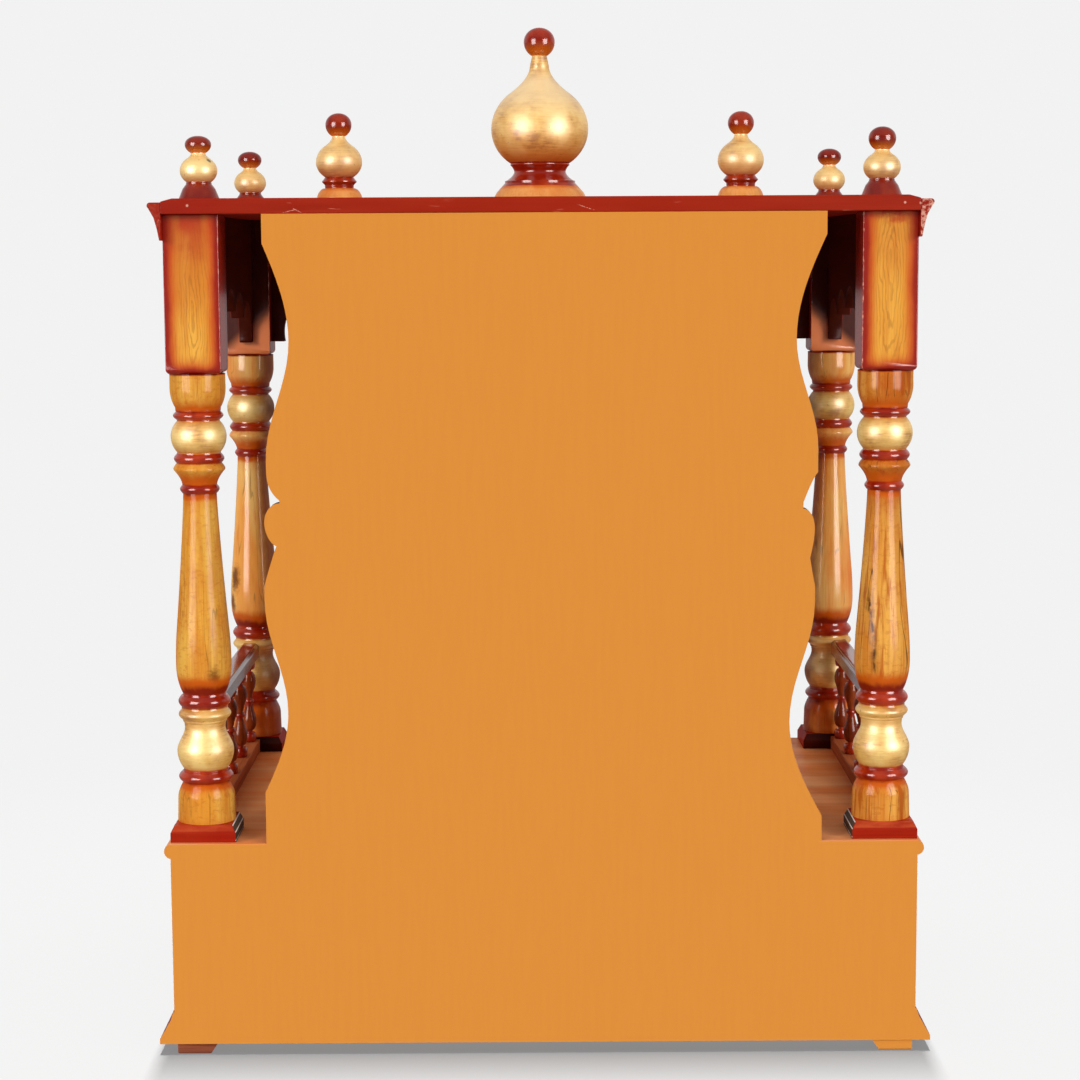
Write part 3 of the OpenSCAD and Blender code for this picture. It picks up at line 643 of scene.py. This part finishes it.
def makeTurned(name, foot, zones, tones, look):
    look = {**plainLook, **look}
    inner = look["inner"]
    finish, tree, shader, place = newFinish(name)
    level = times(tree, calc(tree, "SUBTRACT", axesOf(tree, place)["Z"], foot.z), millimetres)
    painted = roughen(tree, level, noise(tree, place, *bandEdges["ragged"]), bandEdges["reach"])
    redMask, goldMask = bandMasks(tree, level, painted, zones)
    stretch, *rough = stainLook["uneven"]
    uneven = noise(tree, drawn(tree, place, "Z", stretch, look["shift"]), *rough)

    body = woodColour(tree, place, "Z", tones, look["shift"])
    body = markKnots(tree, place, body, foot, look["knots"], tones["vein"])
    if look["crack"]:
        body = markCrack(tree, place, body, foot, look["crack"], tones["vein"])
    body = stainEnds(tree, level, uneven, body, zones, inner)
    # painted shade in burnt red on the side turned to the middle
    if inner:
        turned = innerShadeMask(tree, uneven, inner)
        body = paint(tree, turned, body, paints["burnt"])
    if "knob" in zones:
        knobFoot = zones["knob"][0]
        thin = fade(tree, painted, knobFoot - bandEdges["knobMargin"], knobFoot)
        body = paint(tree, thin, body, paints["thin"])
    body = blend(tree, redMask, body, ringRed(tree, place, zones))

    goldTint, brushed = goldColour(tree, place)
    shine = goldMask
    # painted shade on the gold of that side too
    if inner:
        goldTint = paint(tree, times(tree, turned, goldLook["innerShadeShare"]), goldTint, paints["goldInnerShade"])
    if "shade" in zones:  # painted shade: the gold goes brown and less shiny towards its ends
        shade = steps(tree, painted, zones["shade"], 0, zones["height"])
        goldTint = paint(tree, shade, goldTint, paints["goldBrown"])
        shine = lessen(tree, shine, shade, gloss["shadeDulls"])
    # the painted shade dulls the shine as well
    if inner:
        shine = lessen(tree, shine, turned, gloss["innerDulls"])
    # a paler gold, on the dome a painted reflection over its upper part
    if "peach" in zones:
        peach = steps(tree, painted, zones["peach"], 0, zones["height"])
        goldTint = paint(tree, peach, goldTint, paints["goldPeach"])
    if look["ding"]:
        goldTint = markDing(tree, place, goldTint, foot + Vector(look["ding"]), brushed)
    tree.links.new(blend(tree, goldMask, body, goldTint), shader.inputs["Base Color"])
    glossTurned(tree, shader, place, (redMask, goldMask), shine, brushed, look["coat"])
    return finish


# blocks with a red burst around a honey face; the burst shows on their two outer faces
# worn is the pale of the chipped inner edges, partly a painted highlight along them
burst = {
    "edge": (152, 26, 8), "rim": (206, 70, 16), "worn": (230, 150, 120), "mottled": (190, 60, 20),
    "redFoot": 0.9,         # how much slower the red fades from the foot than from the sides
    "corner": 0.01,         # metres over which foot and sides run together
    "fades": (0.0022, 0.0065, 0.0135),  # metres from the edge to the end of the red, the rim, the heart
    "wood": (0.0035, 0.0145),           # metres from the edge to the first wood and to clear wood
    "deepest": 0.02,
    "mottle": (70.0, 4.0), "mottleStretch": 0.4, "mottleReach": 0.006,
    "topRagged": (90.0, 4.0), "topReach": 0.03,
    "outward": (0.45, 0.75), "coat": 0.8, "coatRoughness": 0.2,
    "wornWidth": 0.0009, "chipped": (0.5, 330.0, 3.0, 0.55, 0.5, 0.62), "shiftUp": 0.3,
}
burstTones = {"pale": (246, 180, 70), "mid": (232, 152, 46), "dark": (206, 108, 26),
              "vein": (140, 70, 18), "patches": 0.6, "bands": 0.3, "veins": 0.35}
# a sawn flame figure: long rings around an eye, as tall and as wide as this in metres
flame = {
    "grain": (164, 88, 22), "tall": 0.02, "wide": 0.0021, "often": 6.3, "line": (0.2, 1.0),
    "swayStretch": 0.3, "sway": (90.0, 3.0), "swayReach": 4.0,
    "broken": (0.2, 160.0, 3.0, 0.6, 0.3, 0.6), "brokenShare": (0.1, 0.4),
}
# painted shadow on the rear faces of the front blocks: dark down to a slanting soft edge, metres over
# their foot, with painted light below it
paintedShadow = {
    "dark": (84, 28, 14), "pink": (255, 146, 88), "foot": 0.018, "slant": 0.9,
    "edge": (-0.005, 0.012, 1.0, 0.0), "mottled": (0.3, 0.7, -0.03, 0.03),
}
# length of the stained top and level of the eye of the figure, in metres, and how strongly the inner
# edges show chips with a pale painted highlight
blockLooks = {
    "block_rear_right": {"top": 0.055, "eye": 0.05, "chipsAndGlints": 0.3},
    "block_rear_left": {"top": 0.012, "eye": 0.085, "chipsAndGlints": 0.9},
    "block_front_right": {"top": 0.02, "eye": 0.05, "chipsAndGlints": 0.3},
    "block_front_left": {"top": 0.016, "eye": 0.06, "chipsAndGlints": 0.3},
}


def flameLines(tree, place, over, rise, eye):
    tall = calc(tree, "DIVIDE", calc(tree, "SUBTRACT", rise, eye), flame["tall"])
    wide = calc(tree, "DIVIDE", over, flame["wide"])
    rings = calc(tree, "SQRT", calc(tree, "ADD", times(tree, wide, wide), times(tree, tall, tall)))
    sway = noise(tree, drawn(tree, place, "Z", flame["swayStretch"]), *flame["sway"])
    rings = calc(tree, "ADD", rings, times(tree, sway, flame["swayReach"]))
    line = fade(tree, calc(tree, "SINE", times(tree, rings, flame["often"])), *flame["line"])
    start, end = flame["brokenShare"]
    return times(tree, line, grain(tree, place, "Z", flame["broken"], start=start, end=end))


# a painted shadow over a painted patch of light, with a soft slanting edge
def paintedShadowTint(tree, offX, rise, outX, mottle):
    slant = calc(tree, "MULTIPLY_ADD", offX, -paintedShadow["slant"] * outX, paintedShadow["foot"])
    lit = fade(tree, calc(tree, "SUBTRACT", rise, slant), *paintedShadow["edge"])
    lit = calc(tree, "ADD", lit, fade(tree, mottle, *paintedShadow["mottled"]))
    return blend(tree, lit, linear(*paintedShadow["dark"]), linear(*paintedShadow["pink"]))


def makeBurst(node, outX, outY):
    look = blockLooks[node]
    finish, tree, shader, place = newFinish(node + "_finish")
    low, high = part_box(node)
    middle = (low + high) / 2
    half = (high.x - low.x) / 2
    axes = axesOf(tree, place)
    face = facing(tree)
    offX = calc(tree, "SUBTRACT", axes["X"], middle.x)
    offY = calc(tree, "SUBTRACT", axes["Y"], middle.y)
    rise = calc(tree, "SUBTRACT", axes["Z"], low.z)
    drop = calc(tree, "SUBTRACT", high.z, axes["Z"])
    outward = calc(tree, "MAXIMUM", times(tree, face["X"], outX), times(tree, face["Y"], outY))
    shown = fade(tree, outward, *burst["outward"])

    # how far a point is from the nearest edge of its face
    across = calc(tree, "MINIMUM", calc(tree, "ABSOLUTE", offX), calc(tree, "ABSOLUTE", offY))
    side = calc(tree, "SUBTRACT", half, across)
    inset = calc(tree, "SMOOTH_MIN", side, times(tree, rise, burst["redFoot"]), burst["corner"])
    mottle = noise(tree, drawn(tree, place, "Z", burst["mottleStretch"]), *burst["mottle"])
    inset = times(tree, roughen(tree, inset, mottle, burst["mottleReach"]), shown)

    heart = woodColour(tree, place, "Z", burstTones, (middle.x, middle.y, burst["shiftUp"]))
    alongX = calc(tree, "GREATER_THAN", calc(tree, "ABSOLUTE", face["Y"]), 0.5)
    lines = flameLines(tree, place, blend(tree, alongX, offY, offX), rise, look["eye"])
    heart = paint(tree, lines, heart, flame["grain"])
    top = roughen(tree, drop, noise(tree, place, *burst["topRagged"]), burst["topReach"])
    heart = paint(tree, fade(tree, top, 0.0, look["top"], 1.0, 0.0), heart, burst["mottled"])

    edgeEnd, rimAt, heartAt = burst["fades"]
    glow = steps(tree, inset, [(0.0, linear(*burst["edge"])), (edgeEnd, linear(*burst["edge"])),
                               (rimAt, linear(*burst["rim"])), (heartAt, linear(*burstTones["mid"]))],
                 0.0, burst["deepest"])
    woodFrom, woodClear = burst["wood"]
    mask = steps(tree, inset, [(woodFrom, 0.0), (woodClear, 1.0)], 0.0, burst["deepest"])
    plain = redColour(tree, place, "Z", redTones["trim"])
    # the rear faces of the front blocks take the painted shadow and light
    if outY < 0:
        dark = paintedShadowTint(tree, offX, rise, outX, mottle)
        plain = blend(tree, fade(tree, face["Y"], *squarely), plain, dark)
    tint = blend(tree, mask, blend(tree, shown, plain, glow), heart)

    # the edges towards the middle of the shrine are chipped, with a broken pale painted highlight along
    # them
    inner = calc(tree, "LESS_THAN", times(tree, offX, outX), 0.0)
    edge = calc(tree, "LESS_THAN", side, burst["wornWidth"])
    edge = times(tree, edge, times(tree, inner, look["chipsAndGlints"]))
    chipsAndGlints = grain(tree, place, "Z", burst["chipped"])
    tint = paint(tree, times(tree, edge, chipsAndGlints), tint, burst["worn"])
    finishBoard(tree, shader, tint, burst, fibre(tree, place, "Z"))
    return finish


# roof boards: matt red, rubbed in places, with thin scratches, filled nail holes and chipped ends
roofMarks = {
    # on the rear edge, by x and how far under the top; a scratch has its length and slope as well
    "nails": [(0.270, 0.0055), (-0.2785, 0.006), (-0.2905, 0.0065)],
    "scratches": [(-0.0335, 0.008, 0.012, 0.35), (-0.0375, 0.0093, 0.008, 0.3),
                  (0.193, 0.0103, 0.010, -0.25), (0.186, 0.0097, 0.006, 0.5)],
    "pale": (232, 170, 146), "scratch": (214, 116, 90), "roughness": 0.6,
    "nailSize": 0.0012, "nailHeart": 0.6, "nailPale": 0.8,
    "scratchWidth": 0.0004, "scratchHeart": 0.3, "scratchPale": 0.85, "scratchReach": 0.001,
    "scratchBroken": (500.0, 2.0, 0.4, 0.6),
    "rubbed": (0.08, 640.0, 2.0, 0.5, 0.65, 0.71), "rubbedWhere": (24.0, 2.0, 0.52, 0.6),
    "rubbedPale": 0.8,
    "crumbs": (420.0, 3.0), "crumbsFrom": (0.42, 0.6), "crumbReach": 0.0012, "crumbDepth": 8.0,
}


def scratchMask(tree, place, axes, x, drop, length, slope):
    width = roofMarks["scratchWidth"]
    along = calc(tree, "SUBTRACT", axes["X"], x)
    rise = calc(tree, "SUBTRACT", axes["Z"], roofTop - drop)
    over = calc(tree, "SUBTRACT", rise, times(tree, along, slope))
    line = fade(tree, calc(tree, "ABSOLUTE", over), roofMarks["scratchHeart"] * width, width,
                roofMarks["scratchPale"], 0.0)
    line = times(tree, line, calc(tree, "LESS_THAN", calc(tree, "ABSOLUTE", along), length / 2))
    return times(tree, line, speckle(tree, place, *roofMarks["scratchBroken"]))


def makeRoof(name, axis, rearY, chipped=0.0):
    tones = redTones["roof"]
    finish, tree, shader, place = newFinish(name)
    axes = axesOf(tree, place)
    tint = redColour(tree, place, axis, tones)
    rubbed = times(tree, grain(tree, place, axis, roofMarks["rubbed"]),
                   speckle(tree, place, *roofMarks["rubbedWhere"]))
    tint = paint(tree, times(tree, rubbed, roofMarks["rubbedPale"]), tint, roofMarks["scratch"])
    size = roofMarks["nailSize"]
    for x, drop in roofMarks["nails"]:
        away = distance(tree, place, (x, rearY, roofTop - drop))
        dot = fade(tree, away, size * roofMarks["nailHeart"], size, roofMarks["nailPale"], 0.0)
        tint = paint(tree, dot, tint, roofMarks["pale"])
    onRear = calc(tree, "GREATER_THAN", axes["Y"], rearY - roofMarks["scratchReach"])
    for scratch in roofMarks["scratches"]:
        line = scratchMask(tree, place, axes, *scratch)
        tint = paint(tree, times(tree, line, onRear), tint, roofMarks["pale"])
    height = fibre(tree, place, axis)
    if chipped:
        rear = calc(tree, "GREATER_THAN", axes["Y"], rearY - roofMarks["crumbReach"])
        crumbs = noise(tree, place, *roofMarks["crumbs"])
        rough = times(tree, rear, fade(tree, crumbs, *roofMarks["crumbsFrom"]))
        tint = paint(tree, times(tree, rough, chipped), tint, roofMarks["pale"])
        deep = times(tree, times(tree, rear, crumbs), roofMarks["crumbDepth"] * chipped)
        height = calc(tree, "ADD", height, deep)
    finishBoard(tree, shader, tint, tones, height, "roof", roofMarks["roughness"])
    return finish


bareRoughness = 0.7


def makeBare():  # bare board inside the base
    finish, tree, shader, place = newFinish("bare_board")
    tree.links.new(woodColour(tree, place, "X", woodTones["bare"]), shader.inputs["Base Color"])
    shader.inputs["Roughness"].default_value = bareRoughness
    relief(tree, shader, fibre(tree, place, "X"), "bare")
    return finish


print("finishes defined")

turnedJoin = {"reach": 0.00001, "sharpest": 32}  # metres and degrees


# joins the bands of a turned piece and smooths across their joints
def smoothGroup(name):
    group = bpy.data.node_groups.new(name, "GeometryNodeTree")
    group.interface.new_socket("Geometry", in_out="INPUT", socket_type="NodeSocketGeometry")
    group.interface.new_socket("Geometry", in_out="OUTPUT", socket_type="NodeSocketGeometry")
    make = group.nodes.new
    forget = make("GeometryNodeRemoveAttribute")
    forget.inputs["Name"].default_value = "custom_normal"
    merge = make("GeometryNodeMergeByDistance")
    merge.inputs["Distance"].default_value = turnedJoin["reach"]
    shades = []
    for domain in ("FACE", "EDGE", "EDGE"):  # smooth faces, no marked edges, then only the sharp ones
        shades.append(make("GeometryNodeSetShadeSmooth"))
        shades[-1].domain = domain
    crease = shades[-1]
    crease.inputs["Shade Smooth"].default_value = False
    sharp = make("FunctionNodeCompare")
    sharp.data_type = "FLOAT"
    sharp.operation = "GREATER_THAN"
    sharp.inputs[1].default_value = math.radians(turnedJoin["sharpest"])
    group.links.new(make("GeometryNodeInputMeshEdgeAngle").outputs["Unsigned Angle"], sharp.inputs[0])
    group.links.new(sharp.outputs["Result"], crease.inputs["Selection"])
    chain = [make("NodeGroupInput"), forget, merge, *shades, make("NodeGroupOutput")]
    for before, after in zip(chain, chain[1:]):
        group.links.new(before.outputs[0], after.inputs[0])
    return group


# takes the sharpness off sawn edges; metres and degrees
sawnEdges = {"join": 0.00001, "width": 0.0009, "steps": 2, "sharpest": 35}


def easeEdges(obj):
    weld = obj.modifiers.new("weld", "WELD")
    weld.merge_threshold = sawnEdges["join"]
    bevel = obj.modifiers.new("ease", "BEVEL")
    bevel.width = sawnEdges["width"]
    bevel.segments = sawnEdges["steps"]
    bevel.limit_method = "ANGLE"
    bevel.angle_limit = math.radians(sawnEdges["sharpest"])
    bevel.harden_normals = True


def dress(name, *finishes):
    mesh = nodes[name].data
    mesh.materials.clear()
    for finish in finishes:
        mesh.materials.append(finish)


def dressTurned(name, finish, golden, zones, foot):  # the gold bands take the second finish
    dress(name, finish, golden)
    for face in nodes[name].data.polygons:
        level = (face.center.z - foot.z) * millimetres
        face.material_index = int(any(low < level < high for low, high in zones["gold"]))


keepSharp = ("base_back", "back_panel", "floor_board", "skirting_left", "skirting_right", "feet")


def dressBoards():
    trimX = makeRed("trim_red_across", "X", redTones["trim"])
    trimY = makeRed("trim_red_along", "Y", redTones["trim"])
    skirtRed = makeBackPainted("skirt_red", "Y", rearEnd, redTones["trim"])
    roofRed = makeRoof("roof_red", "X", rearEnd)
    arch = redTones["arch"]
    finishes = {
        "feet": makeBackPainted("foot_wood", "X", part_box("feet")[1].y, redTones["foot"], side=-1),
        "base_front": trimX,
        "base_side_left": trimY,
        "base_side_right": trimY,
        "base_back": makeBackPainted("back_wall", "X", rearEnd, redTones["trim"]),
        "base_bottom": makeBare(),
        "skirting_front": trimX,
        "skirting_left": skirtRed,
        "skirting_right": skirtRed,
        "floor_board": makeBackPainted("floor_red", "X", rearEnd, redTones["floor"],
                                       rim=floorTop - orangePaint["short"]),
        # the panel's front and edges take the near-black inside tones: painted shade
        "back_panel": makeBackPainted("panel_paint", "Z", rearEnd, redTones["inside"]),
        # the arches are near black on their inner faces, painted shade, and trim red on their outer faces
        "arch_front": makeRed("arch_red_front", "X", arch, redTones["trim"], "Y", -1),
        "arch_left": makeRed("arch_red_left", "Y", arch, redTones["trim"], "X", -1),
        "arch_right": makeRed("arch_red_right", "Y", arch, redTones["trim"], "X", 1),
        "roof_board": roofRed,
        "cornice_front": roofRed,
        "cornice_left": makeRoof("cornice_left_red", "Y", rearEnd, chipped=0.8),
        "cornice_right": makeRoof("cornice_right_red", "Y", rearEnd, chipped=0.05),
    }
    topRailRed = makeRed("top_rail_red", "Y", redTones["topRail"])
    lowRailRed = makeRed("low_rail_red", "Y", redTones["lowRail"])
    # the front plinths are near black on their rear faces: painted shade
    plinthShadedRear = makeRed("plinth_red_front", "X", redTones["plinth"], redTones["inside"])
    for side, outX in (("left", -1), ("right", 1)):
        finishes["top_rail_" + side] = topRailRed
        finishes["low_rail_" + side] = lowRailRed
        finishes["plinth_front_" + side] = plinthShadedRear
        finishes["plinth_rear_" + side] = makePlinth("plinth_red_" + side, outX)
    for name, finish in finishes.items():
        dress(name, finish)
        if name not in keepSharp:
            easeEdges(nodes[name])


def footOf(name, seat=None):  # where a piece stands, over the middle of itself or of its seat
    low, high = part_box(seat or name)
    middle = (low + high) / 2
    return Vector((middle.x, middle.y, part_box(name)[0].z))


def dressPillars():
    for name, look in pillarLooks.items():
        foot = footOf(name, seat=name.replace("pillar", "plinth"))
        finish = makeTurned(name + "_finish", foot, pillarZones, woodTones[look["tones"]], look)
        dressTurned(name, finish, goldFinish(finish), pillarZones, foot)


dinged = {"node": "corner_finial_rear_right", "ding": (-0.0086, 0.006, 0.0287)}


def dressFinials():
    for kind, zones in finialZones.items():
        foot = footOf("dome_finial")
        finish = makeTurned(kind + "_finial_paint", foot, zones, woodTones["bell"], {})
        golden = goldFinish(finish)
        for name in nodes:
            if name.startswith(kind) and name != dinged["node"]:
                dressTurned(name, finish, golden, zones, foot)
    foot = footOf(dinged["node"])
    zones = finialZones["corner"]
    finish = makeTurned("dinged_finial_paint", foot, zones, woodTones["bell"], {"ding": dinged["ding"]})
    dressTurned(dinged["node"], finish, goldFinish(finish), zones, foot)


def dressBalusters():
    foot = footOf("balusters_left")
    finish = makeTurned("baluster_paint", foot, balusterZones, woodTones["dusk"], {})
    dress("balusters_left", finish)
    dress("balusters_right", finish)


def smoothTurned():
    group = smoothGroup("smoothTurned")
    for name, obj in nodes.items():
        if "finial" in name or name.startswith(("pillar", "balusters")):
            obj.modifiers.new("smoothTurned", "NODES").node_group = group


def dressBlocks():
    for side, outX in (("left", -1), ("right", 1)):
        for end, outY in (("front", -1), ("rear", 1)):
            name = f"block_{end}_{side}"
            dress(name, makeBurst(name, outX, outY))
            easeEdges(nodes[name])


dressBoards()
dressPillars()
dressFinials()
dressBalusters()
smoothTurned()
dressBlocks()
print("finishes ready")

# a pale sweep and soft light from both sides behind the shrine, where the camera stands
stage = {
    "backdrop": (242, 242, 242),
    "floorSize": 30.0,           # metres
    "floorShade": 0.1,
    "shadowGlow": 0.24,          # what is left of the floor's brightness in the contact shadow
    "shadowReach": (0.55, 1.1),  # metres from the middle over which the shadow ends
}

# brightness of the studio around the shrine, as light and as it shows in reflections
studio = {
    "behind": (0.2, 0.14),  # on the camera's side
    "ahead": (0.35, 0.85),  # on the far side
    "above": (0.6, 0.5),
    "floor": (0.45, 0.32),
}
studioEdges = {"ahead": (-0.3, 0.1), "above": (0.25, 0.75)}  # along Y and Z of the heading

# a broad sun and a soft box on each side, seen from behind; the sun gives the light and the box
# what shows of it in the gloss
lightSides = (("Left", 1), ("Right", -1))
sunLight = {"azimuth": 46, "height": 18, "size": 24, "strength": 1.48, "away": 3}  # degrees, metres
softBox = {"x": 1.3, "y": 1.35, "z": 0.8, "aim": (0.0, 0.0, 0.45),
           "width": 1.0, "height": 1.25, "brightness": 15.0}
overhead = {"place": (0.0, -2.0, 40.0), "width": 0.8, "depth": 7.0, "watts": 98800}
white = (1, 1, 1, 1)


def sweepFinish():  # lit only near the shrine, where its shadow falls
    sweep = bpy.data.materials.new("sweep")
    sweep.use_nodes = True
    tree = sweep.node_tree
    tree.nodes.remove(tree.nodes["Principled BSDF"])
    shade = stage["floorShade"]
    lit = put(tree, "BsdfDiffuse", {"Color": (shade, shade, shade, 1)}).outputs[0]
    low = put(tree, "Emission", {"Color": white, "Strength": stage["shadowGlow"]}).outputs[0]
    near = put(tree, "AddShader", {0: lit, 1: low}).outputs[0]
    far = put(tree, "Emission", {"Color": linear(*stage["backdrop"]), "Strength": 1.0}).outputs[0]
    place = put(tree, "TexCoord").outputs["Object"]
    away = put(tree, "VectorMath", {0: place}, operation="LENGTH").outputs["Value"]
    seen = put(tree, "MixShader", {0: fade(tree, away, *stage["shadowReach"]), 1: near, 2: far}).outputs[0]
    ray = put(tree, "LightPath").outputs
    bright = fade(tree, ray["Is Glossy Ray"], 0.0, 1.0, *studio["floor"])
    glow = put(tree, "Emission", {"Color": white, "Strength": bright}).outputs[0]
    mixed = put(tree, "MixShader", {0: ray["Is Camera Ray"], 1: glow, 2: seen}).outputs[0]
    tree.links.new(mixed, tree.nodes["Material Output"].inputs["Surface"])
    return sweep


def makeFloor():
    half = stage["floorSize"] / 2
    corners = [(-half, -half, 0), (half, -half, 0), (half, half, 0), (-half, half, 0)]
    mesh = bpy.data.meshes.new("floor")
    mesh.from_pydata(corners, [], [(0, 1, 2, 3)])
    mesh.materials.append(sweepFinish())
    floor = bpy.data.objects.new("floor", mesh)
    bpy.context.scene.collection.objects.link(floor)
    return floor


def makeWorld():
    world = bpy.data.worlds.new("studio")
    bpy.context.scene.world = world
    world.use_nodes = True
    tree = world.node_tree
    ground = tree.nodes["Background"]
    ground.inputs[0].default_value = linear(*stage["backdrop"])
    heading = axesOf(tree, put(tree, "TexCoord").outputs["Generated"])
    ray = put(tree, "LightPath").outputs
    level = {key: fade(tree, ray["Is Glossy Ray"], 0.0, 1.0, *pair) for key, pair in studio.items()}
    tone = blend(tree, fade(tree, heading["Y"], *studioEdges["ahead"]), level["ahead"], level["behind"])
    tone = blend(tree, fade(tree, heading["Z"], *studioEdges["above"]), tone, level["above"])
    tone = blend(tree, calc(tree, "LESS_THAN", heading["Z"], 0.0), tone, level["floor"])
    room = put(tree, "Background", {"Strength": tone, "Color": white})
    mix = put(tree, "MixShader", {0: ray["Is Camera Ray"], 1: room.outputs[0], 2: ground.outputs[0]})
    tree.links.new(mix.outputs[0], tree.nodes["World Output"].inputs[0])
    bpy.context.scene.view_settings.view_transform = "Standard"


def addLight(name, kind, place, aim, **settings):
    data = bpy.data.lights.new(name, kind)
    for key, value in settings.items():
        setattr(data, key, value)
    obj = bpy.data.objects.new(name, data)
    bpy.context.scene.collection.objects.link(obj)
    obj.location = place
    obj.rotation_euler = (Vector(aim) - Vector(place)).to_track_quat("-Z", "Y").to_euler()
    return obj


def makeLights(floor):
    lit = bpy.data.collections.new("litPieces")
    for obj in bpy.context.scene.objects:
        if obj.type == "MESH" and obj is not floor:
            lit.objects.link(obj)
    turn = math.radians(sunLight["azimuth"])
    tilt = math.radians(sunLight["height"])
    flat = math.cos(tilt)
    for name, side in lightSides:
        toward = Vector((side * math.sin(turn) * flat, math.cos(turn) * flat, math.sin(tilt)))
        sun = addLight("sun" + name, "SUN", toward * sunLight["away"], (0, 0, 0),
                       energy=sunLight["strength"], angle=math.radians(sunLight["size"]))
        sun.visible_glossy = False
        sun.light_linking.receiver_collection = lit
    area = softBox["width"] * softBox["height"]
    for name, side in lightSides:
        place = (side * softBox["x"], softBox["y"], softBox["z"])
        box = addLight("box" + name, "AREA", place, softBox["aim"], shape="RECTANGLE",
                       size=softBox["width"], size_y=softBox["height"],
                       energy=softBox["brightness"] * math.pi * area)
        box.visible_diffuse = False
        box.light_linking.receiver_collection = lit
    shaded = bpy.data.collections.new("shadedFloor")
    shaded.objects.link(floor)
    top = addLight("overhead", "AREA", overhead["place"], (0, 0, 0), shape="RECTANGLE",
                   size=overhead["width"], size_y=overhead["depth"], energy=overhead["watts"])
    top.rotation_euler = (0, 0, 0)
    top.light_linking.receiver_collection = shaded


makeWorld()
makeLights(makeFloor())
print("stage and lights ready")
